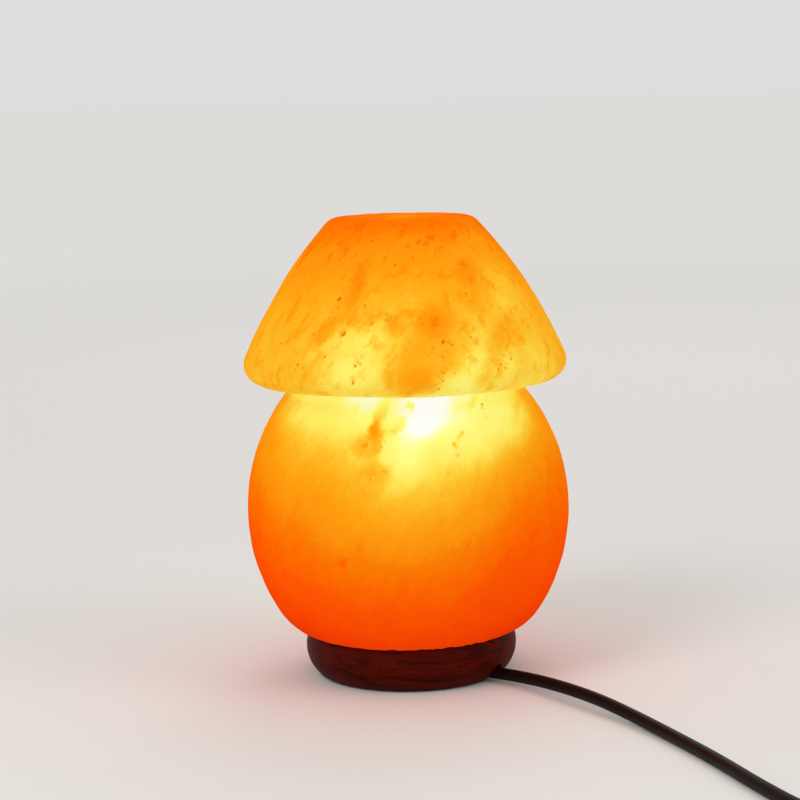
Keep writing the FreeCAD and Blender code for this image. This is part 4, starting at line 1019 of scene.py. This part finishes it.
    def _seam(self, places: np.ndarray) -> np.ndarray:
        """How near each place is to the middle of a trail.

        Args:
            places: the places, one in a row.

        Returns:
            A share for each, from 0 to 1.
        """
        near = np.zeros(len(places))
        for trail in self.trails:
            radius = self._skin_radius(trail.height)
            turned = np.arctan2(places[:, 1], places[:, 0]) - math.radians(trail.azimuth)
            side = (np.mod(turned + math.pi, math.tau) - math.pi) * radius
            rise = places[:, 2] - trail.height
            lean = math.radians(trail.lean)
            along = rise * math.cos(lean) + side * math.sin(lean)
            across = side * math.cos(lean) - rise * math.sin(lean)
            long, wide = self.seam_spread
            spread = (along / (long * trail.reach)) ** 2 + (across / (wide * trail.width)) ** 2
            near = np.maximum(near, np.exp(-self.seam_fade * spread))
        return near

    def _relief(self, piece: Object) -> None:
        """Gives the outside a hand-worn skin, and sinks the pits into it.

        Args:
            piece: the turned block.
        """
        mesh = piece.data
        places = np.zeros(len(mesh.vertices) * 3)
        mesh.vertices.foreach_get("co", places)
        places = places.reshape(-1, 3) / MM
        heights = places[:, 2]
        in_bore = np.hypot(places[:, 0], places[:, 1]) < self.bore_radius + self.bore_margin
        inside = in_bore & (heights < self.bore_top + self.bore_margin)
        outside = ~(inside | (heights < self.base_top + self.seat_margin))
        sunk, dark = np.zeros((2, len(places)))
        for spot, size, strength in self._pits():
            near = np.linalg.norm(places - np.array(spot), axis=1) / (size * self.pit_spread)
            bowl = np.clip(1 - near**2, 0, 1) ** 2 * strength
            sunk = np.maximum(sunk, bowl * min(size, self.pit_most))
            # dark holds the painted shade in the pits, left off the chips near the base
            dark = np.maximum(dark, bowl if spot.z > self.base_top + self.pale_band else 0)
        skin, pitted = (piece.vertex_groups.new(name=name) for name in ("skin", "pitted"))
        skin.add([int(i) for i in np.nonzero(outside)[0]], 1.0, "REPLACE")
        for index in np.nonzero(sunk > self.pit_least)[0]:
            share = float(min(sunk[index], self.pit_most) / self.pit_most)
            pitted.add([int(index)], share, "REPLACE")
        for name, values in (("pit", dark), ("seam", self._seam(places) * outside)):
            made = mesh.attributes.new(name, "FLOAT", "POINT")
            made.data.foreach_set("value", values.astype(np.float32))
        for size, strength in self.wear:
            texture = bpy.data.textures.new(f"worn_{size:g}_mm", "CLOUDS")
            texture.noise_scale = size * MM
            texture.noise_depth = 2
            wear = piece.modifiers.new("worn", "DISPLACE")
            wear.texture = texture
            wear.texture_coords = "LOCAL"
            wear.strength = strength * MM
            wear.vertex_group = skin.name
        dent = piece.modifiers.new("pits", "DISPLACE")
        dent.mid_level = 0.0
        dent.strength = -self.pit_depth * MM
        dent.vertex_group = pitted.name
        apply_all(piece)
        piece.vertex_groups.clear()

    def build(self) -> None:
        """Turns, wears and dresses the block."""
        piece = turn("salt_skin", self.outline(), self.steps)
        self._relief(piece)
        dress(piece, RockSalt().dress())
        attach(piece, "lamp_body")
        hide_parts("salt_block")
        log.info("salt block: %d faces", len(piece.data.polygons))


# ---- cord


@dataclass
class CordLead:
    """The free cord: from the holder to the dimmer, and on through the coil to the plug.

    The coil has rounds turns. coil_order tells which of coil_radii each turn starts with: it goes
    in along the table, out in a second layer, and half a turn on top. Each turn shifts to the next
    over its last part, of the length shift, and climbs gives the turns where it rises by a layer.
    """

    diameter: float = 5.2
    coil_middle: Spot = (237.8, -50.0)
    coil_radii: Point = (33.8, 28.6, 23.4)
    coil_order: tuple[int, ...] = (0, 1, 2, 2, 1, 0, 0, 0)
    rounds: float = 6.5
    shift: float = 0.2
    climbs: Spot = (2.6, 5.6)
    climb: float = 0.33
    points_a_turn: int = 20
    lamp_route: tuple[Point, ...] = (
        (0.0, 0.0, 48.0), (0.0, 0.0, 30.0), (6.6, -4.5, 15.0), (18.0, -12.1, 4.8),
        (32.2, -21.9, 3.5), (45.2, -31.8, 3.9), (60.3, -51.6, 4.9), (75.2, -75.2, 5.1),
        (88.3, -97.4, 3.5), (101.0, -125.0, 2.6), (113.0, -156.0, 2.6), (124.0, -190.0, 2.6),
        (134.5, -217.0, 2.6), (149.0, -238.0, 2.6), (172.0, -245.0, 2.6), (194.0, -234.0, 2.6),
        (202.8, -213.0, 3.0), (204.0, -197.0, 7.0), (204.0, -184.0, 7.0),
    )
    link_route: tuple[Point, ...] = (
        (204.0, -90.0, 7.0), (204.0, -79.0, 7.0), (203.6, -67.0, 3.3), (203.9, -57.0, 2.6),
    )
    plug_route: tuple[Point, ...] = (
        (271.6, -57.0, 13.0), (271.4, -66.0, 12.6), (270.4, -79.5, 7.5), (270.4, -91.0, 7.5),
    )
    dimmer_nodes: tuple[str, ...] = (
        "dimmer_tray", "dimmer_cover", "dimmer_screws", "dimmer_board", "potentiometer",
        "dimmer_triac", "dimmer_capacitor", "dimmer_relief_in", "dimmer_relief_out", "dimmer_knob",
        "pot_shaft",
    )
    plug_nodes: tuple[str, ...] = ("plug_relief", "plug_body", "plug_pins")
    tie_width: float = 9.0
    tie_strips: int = 3
    tie_sheet: float = 0.8
    tie_edge: float = 0.2
    tie_corner: float = 50.0  # degrees from which an edge is rounded
    tie_play: float = 0.45
    tie_gap: float = 0.1
    tie_tail: Spot = (4.0, 2.0)
    tie_lap: float = 0.5  # radians that it goes on past its start
    tie_step: float = 0.8
    off_table: float = 0.05

    def _coil(self) -> list[Point]:
        """Works out the coil's turns.

        Returns:
            Points that the cord's smooth line runs near.
        """
        radii = [self.coil_radii[i] for i in self.coil_order]
        ease = 1 / math.cos(math.pi / self.points_a_turn)  # makes up for the smooth line's cut
        x, y = self.coil_middle
        points = []
        for step in range(int(self.rounds * self.points_a_turn) + 1):
            turns = step / self.points_a_turn
            whole = int(turns)
            shifted = share_of(turns - whole, 1 - self.shift, self.shift)
            radius = ease * (radii[whole] + (radii[whole + 1] - radii[whole]) * shifted)
            layers = sum(share_of(turns, start, self.climb) for start in self.climbs)
            height = self.diameter * (0.5 + layers)
            angle = math.pi - math.tau * turns
            points.append((x + radius * math.cos(angle), y + radius * math.sin(angle), height))
        return points

    def _tie_line(self) -> list[Point]:
        """The strap's path at the back of the coil: round the turns, and over its own start on top.

        Returns:
            Its points.
        """
        outer, _, inner = self.coil_radii
        half = self.diameter / 2
        hug = half + self.tie_play
        over = hug + self.tie_sheet + self.tie_gap
        low, high = (inner, half), (outer, half)
        above, beside = (inner, half + self.diameter), (outer, half + 2 * self.diameter)
        slant = math.pi / 2 + math.atan2(self.diameter, outer - inner)
        tail, drop = self.tie_tail
        first = (beside[0] + hug * math.cos(slant), beside[1] + hug * math.sin(slant))
        path = [(first[0] - tail, first[1] - drop)]
        for middle, radius, start, end in (
            (above, hug, slant, math.pi),
            (low, hug, math.pi, 1.5 * math.pi),
            (high, hug, 1.5 * math.pi, math.tau),
            (beside, over, 0.0, slant),
            (above, over, slant, slant + self.tie_lap),
        ):
            path += arc(middle, radius, start, end, self.tie_step)
        x, y = self.coil_middle
        floor = self.tie_sheet / 2 + self.off_table
        return [(x - self.tie_width / 2, y + r, max(z, floor)) for r, z in path]

    def _tie(self) -> Object:
        """Makes the hook-and-loop strap that holds the coil: matt, black and fluffy.

        Returns:
            The strap.
        """
        strap = draw_line("coil_tie", self._tie_line())
        step = Vector((self.tie_width / self.tie_strips * MM, 0.0, 0.0))
        for _ in range(self.tie_strips):
            bpy.ops.mesh.extrude_edges_move(TRANSFORM_OT_translate={"value": step})
        settle(strap)
        wall = strap.modifiers.new("sheet", "SOLIDIFY")
        wall.thickness = self.tie_sheet * MM
        wall.offset = 0.0
        edge = strap.modifiers.new("edge", "BEVEL")
        edge.width = self.tie_edge * MM
        edge.segments = 2
        edge.angle_limit = math.radians(self.tie_corner)
        apply_all(strap)
        cloth = Moulding("nylon_hook_and_loop", "17171A", "26262A", 0.9, 0.35, 0.12)
        dress(strap, cloth.dress())
        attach(strap, "cord_set")
        return strap

    def _lay(self, name: str, route: Sequence[Point]) -> Object:
        """Lays a round cord along a smooth line.

        Args:
            name: the new piece's name.
            route: points that the line runs near, in millimetres.

        Returns:
            The cord.
        """
        curve = bpy.data.curves.new(name, "CURVE")
        curve.dimensions = "3D"
        spline = curve.splines.new("NURBS")
        spline.points.add(len(route) - 1)
        for slot, point in zip(spline.points, route):
            slot.co = (*(Vector(point) * MM), 1.0)
        spline.order_u = 3
        spline.use_endpoint_u = True
        spline.resolution_u = 8
        curve.bevel_depth = self.diameter / 2 * MM
        curve.bevel_resolution = 7
        curve.use_fill_caps = True
        piece = bpy.data.objects.new(name, curve)
        bpy.context.scene.collection.objects.link(piece)
        return piece

    def build(self) -> None:
        """Lays both stretches of the cord, and says what they are."""
        skin = Moulding().dress()
        lamp = self._lay("lamp_flex", self.lamp_route)
        turns = [*self.link_route[:-1], *self._coil(), *self.plug_route]
        lead = self._lay("plug_flex", turns)
        replaced = ((lamp, ("lamp_cord",)), (lead, ("link_cord", "cord_coil", "plug_cord")))
        for piece, nodes in replaced:
            dress(piece, skin)
            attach(piece, "cord_set")
            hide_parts(*nodes)
        self._tie()
        log.info("cord: two stretches, one coiled")


# ---- CAD pieces


class Dressing(Enum):
    """The pieces kept from the CAD model, by the finish that they share."""

    WOOD = ("wooden_base",)
    ZINC = ("base_screws", "grip_screw", "dimmer_screws")
    NYLON = ("wall_plugs",)
    RUBBER = ("foot_pads",)
    HOLDER = ("holder_shell", "holder_cap", "ring_nut", "terminal_block")
    BRASS = ("thread_shell", "centre_contact", "terminal_screws", "bulb_contact")
    SPRING = ("spring_clip",)
    LEAD = ("core_leads",)
    GLASS = ("bulb_glass", "bulb_stem")
    CAP = ("bulb_cap", "pot_shaft")
    CAP_GLASS = ("bulb_insulator",)
    SUPPORT = ("filament_supports",)
    FILAMENT = ("filament",)
    CASE = ("dimmer_tray", "dimmer_cover")
    BOARD = ("dimmer_board",)
    PARTS = ("potentiometer", "dimmer_triac", "dimmer_capacitor")
    MOULDED = ("dimmer_relief_in", "dimmer_relief_out", "plug_relief", "plug_body")
    KNOB = ("dimmer_knob",)
    BLADES = ("plug_pins",)


def dress_cad_pieces() -> None:
    """Gives every piece that is kept from the CAD model its finish."""
    finishes = {
        # Turned hardwood under thin lacquer: dark red-brown, a low sheen along the grain.
        Dressing.WOOD: StainedWood(),
        # Steel under a thin coat of zinc: pale grey, duller in patches.
        Dressing.ZINC: BareMetal("zinc_plated_steel", "B9B6AC", "8F8C82", 0.32),
        # Moulded nylon: milky grey and waxy.
        Dressing.NYLON: Moulding("grey_nylon", "8A8A84", "9C9C96", 0.5, 1.0, 0.02, 0.5),
        # Moulded rubber: matt and nearly black.
        Dressing.RUBBER: Moulding("black_rubber", "121212", "1D1C1B", 0.75, 0.7, 0.05),
        # Phenolic resin pressed in a hot mould: hard, black, a little shiny.
        Dressing.HOLDER: Moulding("phenolic_moulding", "141313", "1E1C1B", 0.38, 1.2, 0.015, 0.5),
        # Rolled brass: bright yellow with darker smudges.
        Dressing.BRASS: BareMetal("bright_brass", "D9B25A", "A9813A", 0.25),
        # Rolled and hardened spring steel: plain grey, satin.
        Dressing.SPRING: BareMetal("spring_steel", "A3A3A0", "7A7A78", 0.34, 0.6),
        # Extruded PVC round each core: brown and smooth.
        Dressing.LEAD: Moulding("wire_insulation", "5A2E16", "6B3A1E", 0.45, 0.8, 0.01, 0.5),
        Dressing.GLASS: BulbGlass(),
        # Brass under nickel: pale and bright.
        Dressing.CAP: BareMetal("nickel_plated_cap", "CFCBC2", "A8A49A", 0.22),
        # Black glass cast into the cap's foot: glossy.
        Dressing.CAP_GLASS: Moulding("black_cap_glass", "0B0B0E", "15151A", 0.15, 1.0, 0.005, 0.5),
        # Drawn wire dulled by heat.
        Dressing.SUPPORT: BareMetal("support_wire", "8B8780", "6E6A64", 0.4),
        Dressing.FILAMENT: HotWire(),
        # ABS from an etched mould: black with a fine even grain.
        Dressing.CASE: Moulding("fine_textured_abs", "0F0E0E", "181615", 0.5, 0.45, 0.05, 0.35),
        # Paper pressed with phenolic resin: brown and matt.
        Dressing.BOARD: Moulding("phenolic_paper_board", "8A6430", "A07A3E", 0.6, 1.0, 0.02, 0.5),
        # Epoxy cast round small electric parts: blue-black and smooth.
        Dressing.PARTS: Moulding("small_part_moulding", "15161C", "22232B", 0.35, 1.0, 0.01, 0.5),
        # Soft PVC moulded round the cord: the cord's colour with a fine grain.
        Dressing.MOULDED: Moulding("moulded_pvc", "0D0807", "170F0C", 0.48, 0.6, 0.04, 0.25),
        # ABS from a polished mould: glossy black.
        Dressing.KNOB: Moulding("glossy_abs", "0F0F0F", "191817", 0.28, 0.8, 0.01, 0.5),
        # Nickel over brass, worn yellow: bright with a warm cast.
        Dressing.BLADES: BareMetal("plated_blades", "D6CBA6", "B3A67E", 0.24),
    }
    for group, finish in finishes.items():
        material = finish.dress()
        for name in group.value:
            dress(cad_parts[name], material)
    log.info("CAD pieces dressed: %d finishes", len(finishes))


# ---- studio


@dataclass
class Studio:
    """Pale floor, soft lights and the camera at the photograph's viewing angle.

    Each lamp has its place, its width and its power in watts. The haze grows between the two
    distances of haze_span.
    """

    camera_place: Point = (-2.523, -972.07, 251.78)
    pitch: float = 7.714
    roll: float = 1.357
    lens: float = 101.33
    sensor: float = 36.0
    near_clip: float = 10.0
    floor_radius: float = 60000.0
    floor_tone: str = "E6E3DF"
    floor_haze: float = 0.22
    haze_span: Spot = (200.0, 3000.0)
    backdrop: float = 0.72
    surround: float = 0.62
    aim: Point = (0.0, 0.0, 90.0)
    lamps: tuple[tuple[Point, float, float], ...] = (
        ((-900, -1100, 1300), 900, 10.0),
        ((1200, -700, 900), 900, 4.0),
        ((200, 1100, 1400), 1000, 4.0),
    )

    def _camera(self) -> None:
        """Sets up the camera."""
        data = bpy.data.cameras.new("view")
        data.sensor_width = self.sensor
        data.lens = self.lens
        data.clip_start = self.near_clip * MM
        camera = bpy.data.objects.new("view", data)
        bpy.context.scene.collection.objects.link(camera)
        tilt = Matrix.Rotation(math.radians(90 - self.pitch), 4, "X")
        lean = Matrix.Rotation(math.radians(-self.roll), 4, "Z")
        camera.matrix_world = Matrix.Translation(Vector(self.camera_place) * MM) @ tilt @ lean
        bpy.context.scene.camera = camera

    def _seen(self, tree: NodeTree) -> NodeSocket:
        """Tells a ray that shows the studio from light that falls on a piece.

        Args:
            tree: the node tree of the floor or the surroundings.

        Returns:
            One for a ray from the camera, a shiny surface or glass, and nothing for others.
        """
        path = add_node(tree, "LightPath")
        seen = path.outputs["Is Camera Ray"]
        for name in ("Is Glossy Ray", "Is Transmission Ray"):
            both = {0: seen, 1: path.outputs[name]}
            seen = add_node(tree, "Math", both, operation="MAXIMUM").outputs[0]
        return seen

    def _floor(self) -> None:
        """Lays the floor, brighter far off, so that it meets the backdrop without an edge."""
        start_clean()
        radius = self.floor_radius * MM
        bpy.ops.mesh.primitive_circle_add(vertices=96, radius=radius, fill_type="NGON")
        floor = bpy.context.object
        floor.name = "floor"
        paper = Finish("pale_floor")
        tree = paper.tree
        away = add_node(tree, "VectorMath", {0: paper.place}, operation="LENGTH").outputs["Value"]
        near, far = self.haze_span
        growing = {0: away, 1: near, 2: far, 3: 0.0, 4: self.floor_haze}
        amount = add_node(tree, "MapRange", growing, interpolation_type="SMOOTHSTEP").outputs[0]
        haze = add_node(tree, "Math", {0: self._seen(tree), 1: amount}, operation="MULTIPLY")
        paper.put(
            Base_Color=linear(self.floor_tone),
            Roughness=0.9,
            Specular_IOR_Level=0.1,
            Emission_Color=linear("FFFFFF"),
            Emission_Strength=haze.outputs[0],
        )
        dress(floor, paper.material)

    def _lights(self) -> None:
        """Hangs the soft lamps, and makes the pale surroundings."""
        for index, (place, size, power) in enumerate(self.lamps):
            data = bpy.data.lights.new(f"softbox_{index}", "AREA")
            data.shape = "DISK"
            data.size = size * MM
            data.energy = power
            lamp = bpy.data.objects.new(data.name, data)
            bpy.context.scene.collection.objects.link(lamp)
            lamp.location = Vector(place) * MM
            way = Vector(self.aim) * MM - lamp.location
            lamp.rotation_euler = way.to_track_quat("-Z", "Y").to_euler()
        world = bpy.data.worlds.new("surroundings")
        world.use_nodes = True
        bpy.context.scene.world = world
        tree = world.node_tree
        tree.nodes.clear()
        pale = {0: self._seen(tree), 3: self.surround, 4: self.backdrop}
        strength = add_node(tree, "MapRange", pale).outputs[0]
        sky = add_node(tree, "Background", {0: (1, 1, 1, 1), 1: strength})
        add_node(tree, "OutputWorld", {0: sky.outputs[0]})

    def build(self) -> None:
        """Builds the studio."""
        self._camera()
        self._floor()
        self._lights()
        bpy.context.scene.view_settings.view_transform = "Standard"
        log.info("studio ready")


def main() -> None:
    """Builds the studio, the cord, the salt and the finishes."""
    logging.basicConfig(level=logging.INFO, format="%(name)s: %(message)s")
    Studio().build()
    CordLead().build()
    SaltBlock().build()
    dress_cad_pieces()


if __name__ == "__main__":
    main()
